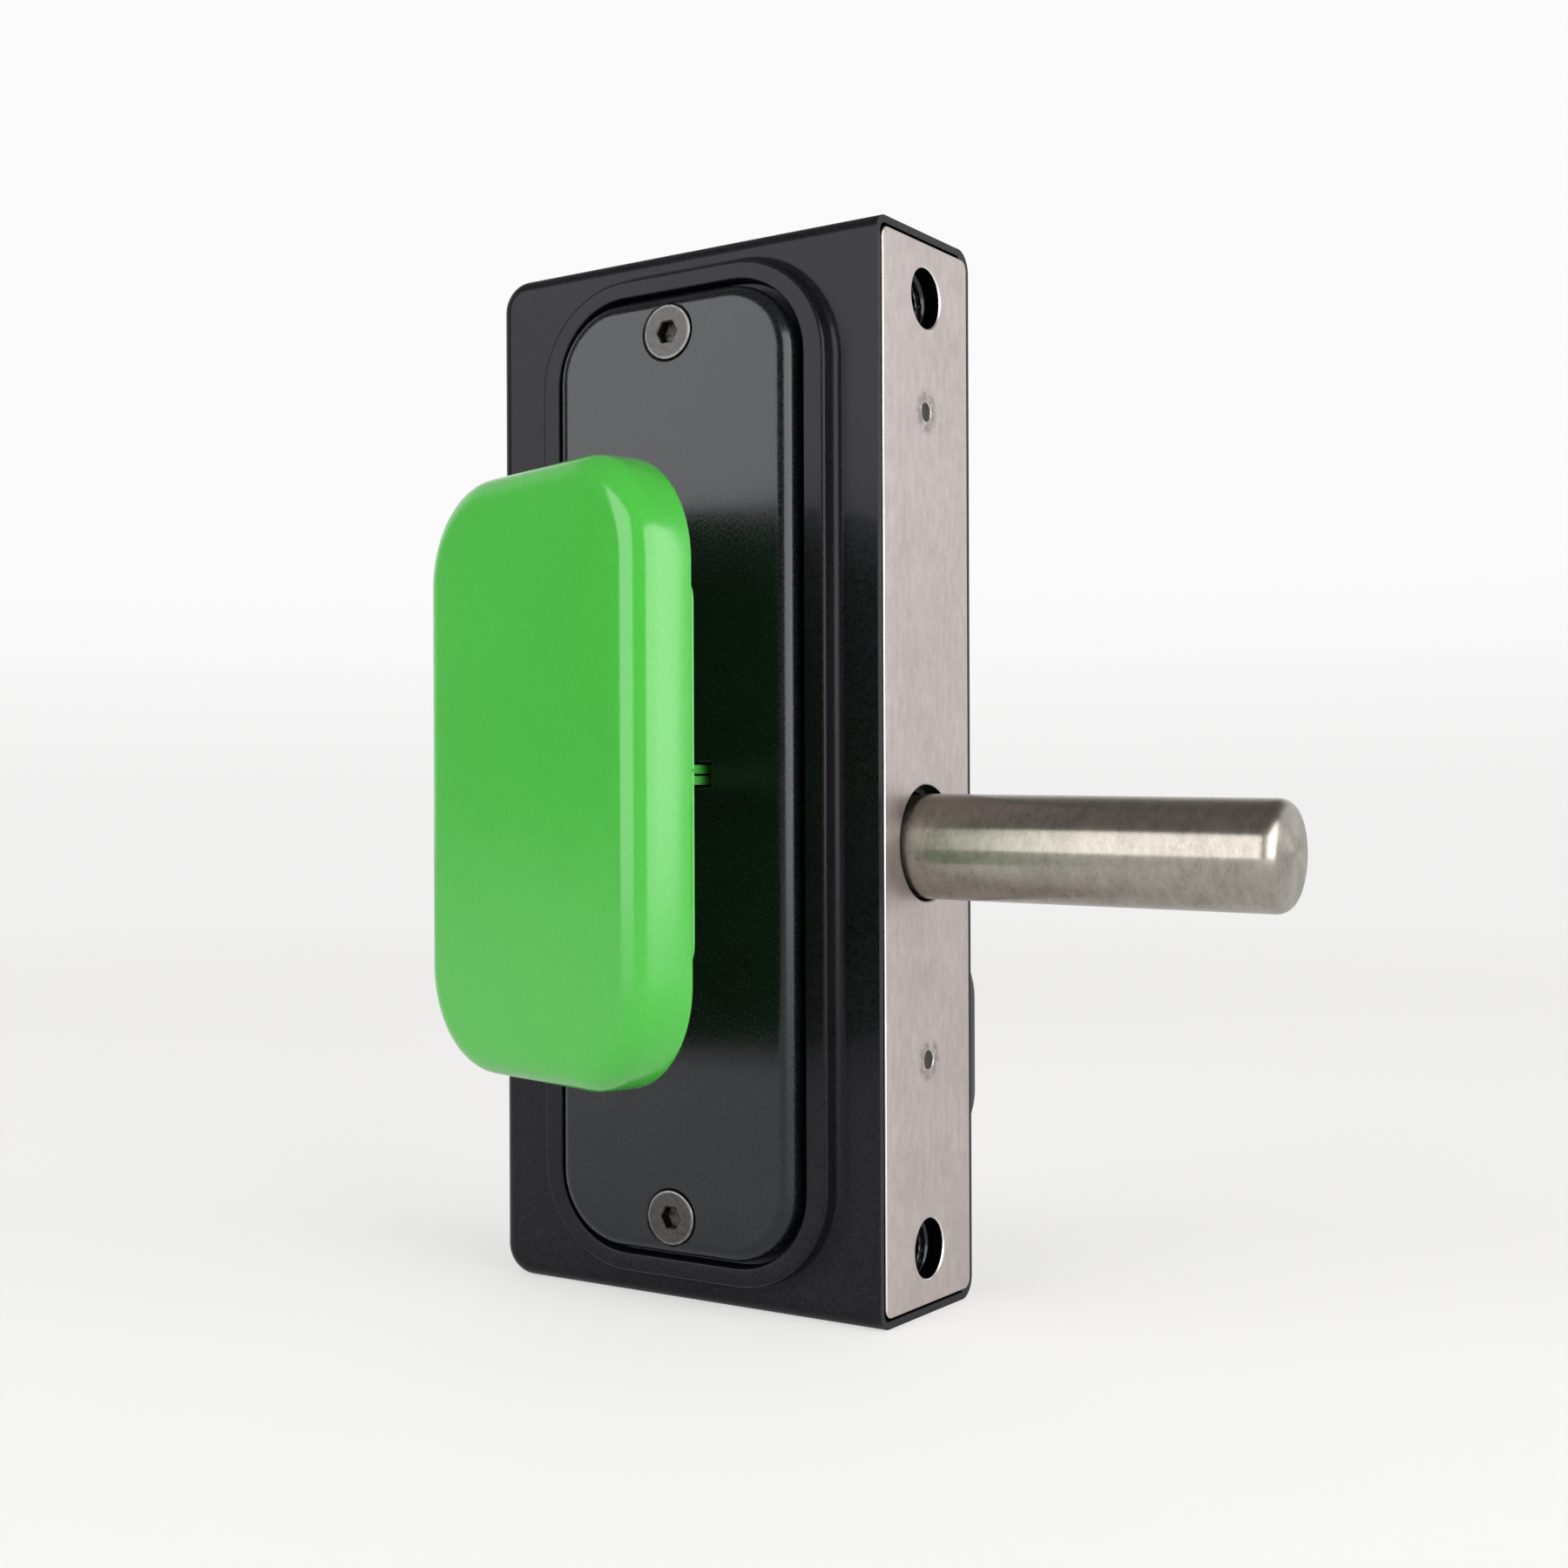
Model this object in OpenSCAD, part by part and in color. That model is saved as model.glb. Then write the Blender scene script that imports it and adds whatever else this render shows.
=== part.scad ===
// Push-pad gate lock. Frame: millimetres, origin at the centre of the faceplate's outer face,
// +X along the bolt, -Y towards the push pad, +Y towards the key cylinder, +Z up.

/* [Case] */
// Height of the case
case_h = 185; // [182:1:220]
// Width of the case, from the faceplate's outer face to the closed edge
case_w = 80; // [79:0.5:100]
// Thickness of the case between its two outer faces
case_d = 33.5; // [33:0.25:37]
// Outline radius of the two corners on the closed edge
case_r = 5.5; // [4.5:0.25:7]
// Rounding round the front face
front_edge_r = 2.9; // [1.5:0.1:3.5]
// Rounding round the rear face
rear_edge_r = 3.8; // [2:0.1:3.9]
// Thickness of the top, bottom and closed-edge walls
side_t = 1.7; // [1.4:0.1:2]
// Thickness of the front wall
front_t = 1.3; // [1:0.1:1.4]
// Thickness of the rear wall
rear_t = 1.3; // [1:0.1:1.4]
// Depth of the rear cover
rear_cover_d = 4; // [4:0.1:4.4]
// How far the case's edges stop behind the faceplate's outer face
case_inset = 0.35; // [0.1:0.05:0.8]

/* [Raised rim] */
// Distance from the closed edge to the raised rim
rim_left = 13; // [12:0.1:14]
// Distance from the faceplate's outer face to the raised rim
rim_right = 8.2; // [7.8:0.1:9]
// Distance from the case's ends to the rim
rim_margin = 4.9; // [4.8:0.1:8]
// Outer corner radius of the rim
rim_r = 18; // [16:0.5:22]
// How far the rim stands out of the front face
rim_rise = 4; // [3.5:0.1:5]
// Width of the rim along its sides
rim_side = 4.05; // [3:0.05:4.5]
// Width of the rim across its ends
rim_end = 3.3; // [2.5:0.05:4.5]
// Rounding along the rim's outer top edge
rim_edge_r = 0.7; // [0.3:0.1:1.5]
// Radius of the hollow fillet at the rim's foot
rim_fillet = 1.6; // [0.8:0.1:1.8]
// Height of the pocket's floor over the front face
ledge_rise = 1; // [0.6:0.1:1.5]
// Width of the floor beside the port that the arms pass through
ledge_side = 3.85; // [3.4:0.05:4.2]

/* [Inner cover] */
// Gap between the inner cover and the rim
cover_gap = 1.25; // [0.8:0.05:1.6]
// How far the inner cover stands out of the rim
cover_rise = 2.7; // [1:0.1:3.5]
// Thickness of the inner cover
cover_t = 2; // [1.6:0.1:2.2]
// Rounding round the inner cover's face
cover_edge_r = 2.8; // [2:0.1:3]
// Distance from the cover's ends to its screws
cover_screw_end = 6.55; // [6:0.05:8]
// Free height above and below the arms in the cover's slot
slot_gap = 0.5; // [0.35:0.05:0.8]

/* [Faceplate] */
// Thickness of the faceplate
plate_t = 3; // [2.5:0.1:3.5]
// Gap between the faceplate's long edges and the case's walls
plate_gap = 0.18; // [0.1:0.02:0.3]
// Gap between the faceplate's ends and the case
plate_end_gap = 0.2; // [0.1:0.05:0.5]
// Corner radius of the faceplate
plate_r = 1.8; // [1:0.1:3]
// Distance from the case's ends to the centres of the fixing holes
fix_end = 11.25; // [10.5:0.25:12.5]
// Diameter of the fixing holes
fix_hole_d = 10.4; // [10.2:0.1:11]
// Core diameter of the fixing thread
fix_core_d = 8.5; // [8:0.1:9]
// Outer diameter of the threaded sleeves
sleeve_d = 16; // [13:0.5:16]
// Length of the threaded sleeves
sleeve_l = 18; // [12:0.5:20]
// Diameter of the bolt hole in the faceplate
bolt_hole_d = 20; // [19.6:0.1:21]
// Diameter of the rivets that join the faceplate to the chassis
rivet_d = 3; // [2.5:0.1:4]
// Distance from the case's top to the upper rivet
rivet_top_end = 30.7; // [27:0.1:40]
// Distance from the case's bottom to the lower rivet
rivet_low_end = 43.5; // [40:0.1:46]

/* [Bolt] */
// Diameter of the bolt
bolt_d = 18; // [17:0.1:18.4]
// Length of the bolt outside the faceplate
bolt_out = 62.7; // [40:0.1:80]
// Travel of the bolt
travel = 14; // [10:0.5:15]
// Depth of the bolt hole's centre under the faceplate's centre
bolt_low = 11.9; // [11.7:0.1:12.4]
// How far the bolt sags under the bolt hole's centre
bolt_sag = 0.3; // [0:0.05:0.4]
// Angle by which the bolt's free end droops
bolt_droop = 1.1; // [0:0.1:1.3]
// Rounding of the bolt's free end
bolt_end_r = 2.3; // [1:0.1:5]
// Length of the guide block
guide_l = 24; // [20:0.5:26]
// Height of the guide block
guide_h = 25; // [24.5:0.25:26]
// Radial running clearance of the turning and sliding fits
fit_gap = 0.05; // [0.02:0.01:0.09]
// Height of the bolt's tail flat over the bolt's axis
tail_flat = 5.4; // [5.2:0.1:5.8]
// Thickness of the carriage
carriage_t = 2.6; // [2.2:0.1:2.8]

/* [Bolt spring] */
// Wire diameter of the bolt spring
spring_wire = 1; // [0.8:0.1:1.1]
// Outer diameter of the bolt spring
spring_d = 7.6; // [7:0.1:7.8]
// Turns of the bolt spring
spring_turns = 12; // [8:1:14]
// Diameter of the hole for the spring in the bolt's tail
spring_bore_d = 8.4; // [8.2:0.1:8.8]
// Depth of the hole for the spring in the bolt's tail
spring_bore_l = 13; // [10:0.5:14]
// Diameter of the spring's guide rod
rod_d = 4.4; // [3.6:0.1:4.6]

/* [Push pad] */
// Width of the push pad
pad_w = 62.5; // [56:0.5:70]
// Height of the push pad
pad_h = 99.2; // [80:0.2:120]
// Thickness of the push pad
pad_t = 11.5; // [9:0.5:13]
// Corner radius of the push pad's outline
pad_r = 17.5; // [12:0.5:24]
// Rounding round the push pad's front
pad_front_r = 5; // [2:0.5:6]
// Rounding round the push pad's back
pad_back_r = 1.2; // [0.5:0.1:2]
// Distance of the push pad's middle from the rim's middle, away from the faceplate
pad_off = 2.4; // [0:0.1:4]
// Distance from the inner cover's face to the middle of the push pad's thickness
pad_stand = 30.75; // [29:0.25:36]
// Angle by which the push pad is turned at rest
pad_turn = 19; // [15:0.5:20]
// Height of the push pad's middle over the faceplate's centre
pad_up = -0.4; // [-2:0.1:2]

/* [Arms] */
// Thickness of each arm plate
arm_t = 1.5; // [1.3:0.1:1.6]
// Gap between the two arm plates
arm_gap = 0.4; // [0.2:0.1:0.6]
// Height of the gap's middle over the faceplate's centre
arm_up = -0.1; // [-0.3:0.1:0.4]
// Half width of the arm plates' flanges behind the push pad
flange_half_w = 29; // [26:0.5:30]
// Height that the flanges reach over and under the push pad's middle
flange_reach = 32.1; // [26:0.1:38]
// Distance from the port's edge to the pivot
pivot_clear = 5.1; // [4.6:0.1:6]
// Distance of the pivot behind the pocket's floor
pivot_back = 0.75; // [0.5:0.05:0.9]
// Radius of the arms' round edge about the pivot
web_r = 23; // [21:0.25:23.5]
// Distance from the pivot to the drive pin
drive_reach = 27.05; // [26:0.05:27.2]
// Diameter of the pivot pin
pivot_d = 4; // [3.5:0.1:4.4]
// Diameter of the drive pin
drive_d = 4; // [3.6:0.1:4.4]

/* [Key side] */
// Distance from the faceplate's outer face to the cylinder's axis
cyl_in = 21; // [20.5:0.1:21.3]
// Depth of the cylinder's axis under the faceplate's centre
cyl_low = 41.5; // [41.5:0.1:42.5]
// How far the guard stands out of the rear face
guard_rise = 17; // [12:0.5:20]
// Width of the guard
guard_w = 28.4; // [27:0.2:30]
// Height of the guard
guard_h = 45.4; // [44:0.2:50]
// Distance from the cylinder's axis down to the guard's middle
guard_drop = 8; // [7:0.1:9]
// Rounding round the guard's outer face
guard_edge_r = 3; // [1:0.1:4]
// Radius of the cam
cam_r = 15; // [14:0.1:15.2]
// Width of the cam's tip
cam_tip_w = 8.5; // [7:0.1:9]
// Depth of the key lever's pivot under the faceplate's centre
lever_low = 76; // [75:0.1:77]
// Distance from the faceplate's outer face to the notch under the bolt
notch_in = 36; // [35.8:0.1:36.4]
// Thickness of the key lever
lever_t = 3; // [2.5:0.1:3.2]
// Width of the key lever's body
lever_w = 9; // [8:0.1:9.2]
// Diameter of the key lever's stud
stud_d = 6; // [5:0.1:7]

/* [Hidden] */
$fn = 96;

// Small clearances and the lengths that cuts run past a face
free_gap = 0.3;
thread_gap = 0.03;
rest_gap = 0.1;
over = 1;

// Case planes
front_y = -case_d / 2;
rear_y = case_d / 2;
front_in = front_y + front_t;
rear_in = rear_y - rear_t;
seam_y = rear_y - rear_cover_d;
left_x = -case_w;
left_in = left_x + side_t;
top_in = case_h / 2 - side_t;
rear_inner_r = max(rear_edge_r - side_t, 0.2);
// Case halves are drawn past the faceplate before they are trimmed
half_w = case_w + 2 * case_r;
half_x = left_x + half_w / 2;
plate_back = -plate_t;
plate_h = 2 * (top_in - plate_end_gap);
fix_z = case_h / 2 - fix_end;

// Raised rim, its pocket and the inner cover
rim_w = case_w - rim_left - rim_right;
rim_x = -rim_right - rim_w / 2;
rim_h = case_h - 2 * rim_margin;
rim_y = front_y - rim_rise;
ledge_y = front_y - ledge_rise;
pocket_w = rim_w - 2 * rim_side;
pocket_h = rim_h - 2 * rim_end;
pocket_r = rim_r - rim_side;
cover_w = pocket_w - 2 * cover_gap;
cover_h = pocket_h - 2 * cover_gap;
cover_r = pocket_r - cover_gap;
cover_y = rim_y - cover_rise;
cover_in_y = cover_y + cover_t;
cover_screw_z = cover_h / 2 - cover_screw_end;
cover_post_r = 5.5;
port_w = pocket_w - 2 * ledge_side;
port_h = 2 * (cover_screw_z - cover_post_r);
port_r = pocket_r - ledge_side;

// Screws, each [thread core radius, shank radius, head radius]
M3 = [1.2, 1.5, 2.75];
M4 = [1.65, 2, 3.8];
M5 = [2.1, 2.5, 4.7];
pan_head_t = 2.2;
cover_screw_proud = 0.15;
cover_hex_r = 2;
cover_hex_depth = 2.3;
landing_r = 4.5;
landing_t = 4.1;
landing_back = front_in + landing_t;

// Posts that carry the rear cover's screws
post_r = 4;
post_end = 7.5;
post_xs = [left_x + post_end, plate_back - sleeve_l - post_r - 2.5];
post_z = case_h / 2 - post_end;
post_thread_l = 10;

// Chassis: a plate behind the works with four bent ears
chassis_t = 2;
chassis_back = seam_y + chassis_t;
chassis_rise = max(chassis_back - rear_in + rear_inner_r, 0);
chassis_left = left_in + rest_gap + rear_inner_r - sqrt(pow(rear_inner_r, 2) - pow(chassis_rise, 2));
chassis_end_gap = 2;
chassis_half_h = top_in - chassis_end_gap;
chassis_corner = case_r - side_t;
ear_half_h = 7;
ear_front_y = -3;
spring_ear_front_y = -6;
spring_ear_up = 8;
window_low_gap = 3.5;
window_top_gap = 1.4;
rivet_y = 0;
rivet_zs = [case_h / 2 - rivet_top_end, rivet_low_end - case_h / 2];
rivet_head_t = 1.2;
rivet_head_r = rivet_d / 2 + 1.1;

// Bolt frame: local x runs along the bolt from the middle of the guide block
guide_x = plate_back - guide_l / 2;
bolt_z = -bolt_low;
bolt_axis_z = bolt_z - bolt_sag;
bolt_r = bolt_d / 2;
bolt_tip = bolt_out - guide_x;
bolt_guided_r = bolt_r - 0.3;
bolt_free_from = 0.5 - guide_x;
guide_mouth_r = bolt_r + 0.4;
guide_mouth_from = bolt_free_from - travel - free_gap;
guide_screw_off = 9.5;
guide_screw_l = 7;
hole_end_gap = 0.5;
pivot_x = rim_x - port_w / 2 + pivot_clear;
carriage_x = pivot_x + travel / 2;
carriage_at = carriage_x - guide_x;
carriage_back = 6.5;
carriage_ahead = 9;
bolt_tail = carriage_at - carriage_back;
clip_t = 1.4;
clip_gap = 0.5;
clip_at = -guide_l / 2 - clip_gap - clip_t;
clip_groove_r = bolt_r - 0.9;
clip_out_r = bolt_r + 1.6;
clip_open_deg = 55;
notch_at = -notch_in - guide_x;
notch_roof = 4.5;
notch_play = 0.5;

// Spring and its rod, in the bolt frame
seat_t = 1;
seat_at = chassis_left + chassis_t - guide_x + rest_gap;
spring_start = seat_at + seat_t + rest_gap / 2;
spring_end = bolt_tail + spring_bore_l - rest_gap;
spring_r = (spring_d - spring_wire) / 2;
spring_steps = 8;
spring_sides = 6;
rod_end_gap = 1.5;
rod_end = bolt_tail - rod_end_gap;
seat_r = spring_r + spring_wire / 2 + 0.4;
rod_neck_r = 1.9;

// Arms and pad
pivot_y = ledge_y + pivot_back;
arm_top = arm_up + arm_gap / 2 + arm_t;
arm_low = arm_up - arm_gap / 2 - arm_t;
web_left_deg = -105;
web_right_deg = -47;
web_inner_deg = 15;
drive_x = pivot_x + travel / 2;
drive_y = pivot_y + sqrt(pow(drive_reach, 2) - pow(travel / 2, 2));
drive_y_max = pivot_y + drive_reach;
drive_end_r = 4;
drive_neck_r = drive_d / 2 - 0.5;
slot_behind = 3;
slot_beyond = 2;
slot_x0 = pivot_x - slot_behind;
slot_x1 = pivot_x + web_r + slot_beyond;
pad_x = rim_x - pad_off;
pad_y = cover_y - pad_stand;
flange_r = 6;
pad_screw_x = 19;
pad_screw_z = 21;
pad_screw_l = 8;
pad_screw_size = [M4[0], M4[1], M4[1] + arm_t - free_gap];
hub_bore_r = pivot_d / 2 + fit_gap;
hub_r = 3;
hub_collar_r = 4;
ear_t = 2.5;
bracket_gap = 0.5;
bracket_ear_r = 4;
bracket_t = 2;
bracket_y = landing_back;
bracket_left_gap = 2.8;
bracket_port_gap = 4.4;
bracket_x0 = left_in + bracket_left_gap;
bracket_x1 = rim_x - port_w / 2 - bracket_port_gap;
bracket_half_h = 17;
bracket_ear_zs = [arm_low - bracket_gap - ear_t, arm_top + bracket_gap];
bracket_neck_gap = 0.4;
bracket_front_gap = 0.6;
bracket_foot_deg = -148;
bracket_screw_x = (bracket_x0 + bracket_x1) / 2;
bracket_screw_z = 12;
pivot_head_t = 1.2;
pivot_head_r = 3.4;
pivot_clip_t = 0.8;
pin_top = bracket_ear_zs[1] + ear_t;
pin_clip_top = bracket_ear_zs[0] - rest_gap;
pin_groove_r = pivot_d / 2 - 0.5;
groove_play = 0.05;
rivet_at_r = 15;

// Carriage
fork_half_w = drive_d / 2 + free_gap;
prong_w = 3;
carriage_half_w = 7.2;
fork_end_y = drive_y_max + drive_d / 2 + 0.25;
carriage_screw_back = 3;
carriage_screw_at = carriage_at + carriage_ahead - carriage_screw_back;
carriage_screw_y = 5.2;
carriage_screw_l = 3;
carriage_sink = M3[2] - M3[1];
drive_pin_low = bolt_axis_z + tail_flat + 1.17;

// Cylinder, cam and key lever
cyl_x = -cyl_in;
cyl_z = -cyl_low;
cyl_r = 8.5;
cyl_leg_w = 10;
cyl_leg_l = 24.5;
cam_y0 = -1.5;
cam_y1 = 8.5;
cam_gap = 0.25;
cyl_blind_l = 5.25;
cyl_gap = 0.3;
cam_hub_r = 7.5;
cam_nose_r = 4.5;
plug_r = 6.5;
key_slot_w = 2.2;
key_slot_h = 8.6;
key_slot_l = 22;
key_slot_drop = 1.4;
cam_key_half_w = 1;
cam_key_rise = 1.2;
guard_z = cyl_z - guard_drop;
guard_y = rear_y + guard_rise;
guard_screw_side = 9.5;
guard_screw_drop = 10.5;
guard_screw_z = cyl_z - guard_screw_drop;
guard_screw_l = 8;
cyl_screw_y = (cam_y0 + cam_y1) / 2;
cyl_screw_z = cyl_z - (cam_r + 0.5 + cyl_leg_l) / 2;
cyl_screw_head_r = 4;
tab_reach = 12.4;
tab_half_w = 4.5;
tab_x0 = cyl_x - tab_reach;
lever_y0 = -0.8;
lever_tip_r = 2.5;
lever_tip_drop = 8.2;
lever_tip_z = bolt_z - lever_tip_drop;
lever_wide_to = 0.84;
lever_narrow_from = 0.8;
nose_from = 0.78;
lever_pivot_x = -notch_in - travel / 2;
nose_low_z = cyl_z + cyl_r + 0.7;
nose_h = 4;
nose_high_z = nose_low_z + nose_h;
stud_shoulder_r = stud_d / 2 + 2;
stud_proud = 2.2;
stud_tail_r = stud_d / 2 - 1;
stud_groove_r = stud_d / 2 - 0.6;
lever_clip_t = 1;

// Prism of a flat shape drawn in the front view (x across, z up) that fills the depths y0 to y1
module across_y(y0, y1)
    rotate([90, 0, 0]) translate([0, 0, -y1]) linear_extrude(y1 - y0) children();

// Prism of a flat shape drawn in the end view (y across, z up) that fills x0 to x1
module across_x(x0, x1)
    translate([x0, 0, 0]) rotate([90, 0, 90]) linear_extrude(x1 - x0) children();

// Prism of a flat shape drawn in plan (x across, y up) that fills z0 to z1
module across_z(z0, z1)
    translate([0, 0, z0]) linear_extrude(z1 - z0) children();

module rod_y(r, y0, y1, x, z)
    across_y(y0, y1) translate([x, z]) circle(r);

// Cone about a line along Y, with radius r0 at depth y0 and r1 at depth y1
module cone_y(r0, r1, y0, y1, x, z)
    translate([x, y1, z]) rotate([90, 0, 0]) cylinder(h = y1 - y0, r1 = r1, r2 = r0);

module span(x0, x1, y0, y1)
    translate([x0, y0]) square([x1 - x0, y1 - y0]);

module round_rect(w, h, r) {
    square([w - 2 * r, h], center = true);
    square([w, h - 2 * r], center = true);
    for (sx = [-1, 1], sy = [-1, 1])
        translate([sx * (w / 2 - r), sy * (h / 2 - r)]) circle(r);
}

module ring(r_out, r_in)
    difference() {
        circle(r_out);
        circle(r_in);
    }

// Flat bar with round ends between two points
module bar(p, q, w) {
    length = norm(q - p);
    translate(p) rotate(atan2(q[1] - p[1], q[0] - p[0])) {
        translate([0, -w / 2]) square([length, w]);
        circle(w / 2);
        translate([length, 0]) circle(w / 2);
    }
}

// Section of a rounded lip: x runs inward from the outer side, y runs back from the face at 0
module lip_section(w, d, r)
    intersection() {
        translate([0, -d]) square([w, d]);
        union() {
            translate([0, -d]) square([w, d - r]);
            translate([r, -d]) square([w, d]);
            translate([r, -r]) circle(r);
        }
    }

// Turns a section about its y axis, keeping only what lies on the side of positive x
module turned(angle = 360)
    rotate_extrude(angle = angle) intersection() {
        children();
        translate([0, -case_h]) square(2 * case_h);
    }

// Sweeps a section round a rectangle of w by h with corner radius r, the section's x inward
module sweep_rect(w, h, r)
    for (side = [0:3]) {
        along = side % 2 == 0 ? h : w;
        out = side % 2 == 0 ? w : h;
        rotate(90 * side) {
            translate([-out / 2, along / 2 - r, 0])
                rotate([90, 0, 0]) linear_extrude(along - 2 * r) children();
            translate([r - out / 2, r - along / 2, 0])
                rotate(180) turned(90) translate([r, 0]) mirror([1, 0]) children();
        }
    }

// Turns a body drawn with its face up into the front view: local z becomes -Y
module face_front(y)
    translate([0, y, 0]) rotate([90, 0, 0]) children();

// Turns a body drawn with its face up into the rear view: local z becomes +Y
module face_rear(y)
    translate([0, y, 0]) rotate([-90, 0, 0]) children();

// Open tray with a rounded edge round its face, drawn face up
module tray(w, h, r, d, edge_r, t, face_t) {
    sweep_rect(w, h, r)
        difference() {
            lip_section(r, d, edge_r);
            translate([t, -face_t]) lip_section(r, d, max(edge_r - t, 0.2));
        }
    translate([r - w / 2, r - h / 2, -face_t]) cube([w - 2 * r, h - 2 * r, face_t]);
}

// Half space to the right of the case's open edge, which trims both case halves
module beyond_case_edge()
    across_x(-case_inset, case_w) square(3 * case_h, center = true);

// Countersunk screw along +Y from its head at y, with its thread from thread_y to end_y
module countersunk_y(size, y, thread_y, end_y, x, z) {
    cone_y(size[2], size[1], y, y + size[2] - size[1], x, z);
    rod_y(size[1], y, thread_y, x, z);
    rod_y(size[0], y, end_y, x, z);
}

// The same screw along -Y, with its head at y
module countersunk_back_y(size, y, thread_y, end_y, x, z)
    translate([0, 2 * y, 0]) mirror([0, 1, 0])
        countersunk_y(size, y, 2 * y - thread_y, 2 * y - end_y, x, z);

// Space for a countersunk head and its shank, a little wider than the screw
module sink_y(size, y, end_y, x, z) {
    cone_y(size[2] + 0.2 + over, size[1] + 0.2, y - over, y + size[2] - size[1], x, z);
    rod_y(size[1] + 0.2, y, end_y, x, z);
}

module sink_back_y(size, y, end_y, x, z)
    translate([0, 2 * y, 0]) mirror([0, 1, 0]) sink_y(size, y, 2 * y - end_y, x, z);

// Front half of the case, with the raised rim, the arm port, the posts and the screw landings
module case_shell() color("#2b2b2e") difference() {
    union() {
        translate([half_x, 0, 0]) face_front(front_y)
            tray(half_w, case_h, case_r, seam_y - front_y, front_edge_r, side_t, front_t);
        translate([rim_x, 0, 0]) face_front(rim_y) {
            sweep_rect(rim_w, rim_h, rim_r) {
                lip_section(rim_r, rim_rise + front_t, rim_edge_r);
                difference() {
                    translate([-rim_fillet, -rim_rise]) square(rim_fillet);
                    translate([-rim_fillet, rim_fillet - rim_rise]) circle(rim_fillet);
                }
            }
            translate([rim_r - rim_w / 2, rim_r - rim_h / 2, -rim_rise - front_t])
                cube([rim_w - 2 * rim_r, rim_h - 2 * rim_r, rim_rise + front_t]);
        }
        for (x = post_xs, side = [-1, 1])
            rod_y(post_r, front_in, seam_y, x, side * post_z);
        for (side = [-1, 1])
            rod_y(landing_r, front_in, landing_back, rim_x, side * cover_screw_z);
        for (side = [-1, 1])
            rod_y(post_r, front_in, bracket_y, bracket_screw_x, arm_up + side * bracket_screw_z);
    }
    across_y(rim_y - over, ledge_y)
        translate([rim_x, 0]) round_rect(pocket_w, pocket_h, pocket_r);
    across_y(ledge_y - over, front_in + over)
        translate([rim_x, 0]) round_rect(port_w, port_h, port_r);
    for (side = [-1, 1])
        rod_y(M5[0] + thread_gap, ledge_y - over, landing_back + over, rim_x, side * cover_screw_z);
    for (x = post_xs, side = [-1, 1])
        rod_y(M4[0] + thread_gap, seam_y - post_thread_l, seam_y + over, x, side * post_z);
    for (side = [-1, 1])
        rod_y(M4[0] + thread_gap, front_in + free_gap, bracket_y + over,
            bracket_screw_x, arm_up + side * bracket_screw_z);
    beyond_case_edge();
}

// Rear half of the case, pierced for the cylinder and its guard's screws
module rear_cover() color("#2b2b2e") difference() {
    union() {
        translate([half_x, 0, 0]) face_rear(rear_y)
            tray(half_w, case_h, case_r, rear_cover_d, rear_edge_r, side_t, rear_t);
        for (x = post_xs, side = [-1, 1])
            rod_y(post_r, chassis_back, rear_in, x, side * post_z);
    }
    across_y(rear_in - over, rear_y + over) euro_profile(cyl_gap);
    for (x = post_xs, side = [-1, 1])
        sink_back_y(M4, rear_y, chassis_back - over, x, side * post_z);
    for (side = [-1, 1])
        rod_y(M4[1] + 0.2, rear_in - over, rear_y + over, cyl_x + side * guard_screw_side, guard_screw_z);
    beyond_case_edge();
}

module rear_screws() color("#55565a")
    for (x = post_xs, side = [-1, 1])
        countersunk_back_y(M4, rear_y, seam_y, seam_y - post_thread_l + 1, x, side * post_z);

// Dished cover in the rim's pocket, with the slot for the arms
module inner_cover() color("#303033") difference() {
    union() {
        translate([rim_x, 0, 0]) face_front(cover_y)
            tray(cover_w, cover_h, cover_r, ledge_y - cover_y, cover_edge_r, cover_t, cover_t);
        for (side = [-1, 1])
            rod_y(cover_post_r, cover_y + cover_t / 2, ledge_y, rim_x, side * cover_screw_z);
    }
    for (side = [-1, 1])
        sink_y(M5, cover_y, ledge_y + over, rim_x, side * cover_screw_z);
    across_y(cover_y - over, cover_in_y + over)
        span(slot_x0, slot_x1, arm_low - slot_gap, arm_top + slot_gap);
}

// Two countersunk hexagon socket screws that hold the inner cover
module cover_screws() color("#7a7c80")
    for (side = [-1, 1]) difference() {
        countersunk_y(M5, cover_y - cover_screw_proud, ledge_y, landing_back - 0.5,
            rim_x, side * cover_screw_z);
        across_y(cover_y - over, cover_y - cover_screw_proud + cover_hex_depth)
            translate([rim_x, side * cover_screw_z]) circle(cover_hex_r, $fn = 6);
    }

module faceplate() color("#c8beba") difference() {
    across_x(plate_back, 0) translate([(front_in + rear_in) / 2, 0])
        round_rect(rear_in - front_in - 2 * plate_gap, plate_h, plate_r);
    for (side = [-1, 1])
        across_x(plate_back - over, over) translate([0, side * fix_z]) circle(fix_hole_d / 2);
    across_x(plate_back - over, over) translate([0, bolt_z]) circle(bolt_hole_d / 2);
    for (z = rivet_zs)
        across_x(plate_back - over, over) translate([rivet_y, z]) circle(rivet_d / 2 + thread_gap);
}

module faceplate_rivets() color("#b4aaa4")
    for (z = rivet_zs) {
        across_x(plate_back - chassis_t - rivet_head_t, 0) translate([rivet_y, z]) circle(rivet_d / 2);
        across_x(plate_back - chassis_t - rivet_head_t, plate_back - chassis_t)
            translate([rivet_y, z]) circle(rivet_head_r);
    }

// Threaded sleeves behind the fixing holes
module fixing_sleeves() color("#26262a")
    for (side = [-1, 1])
        across_x(plate_back - sleeve_l, plate_back)
            translate([0, side * fix_z]) ring(sleeve_d / 2, fix_core_d / 2);

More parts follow.
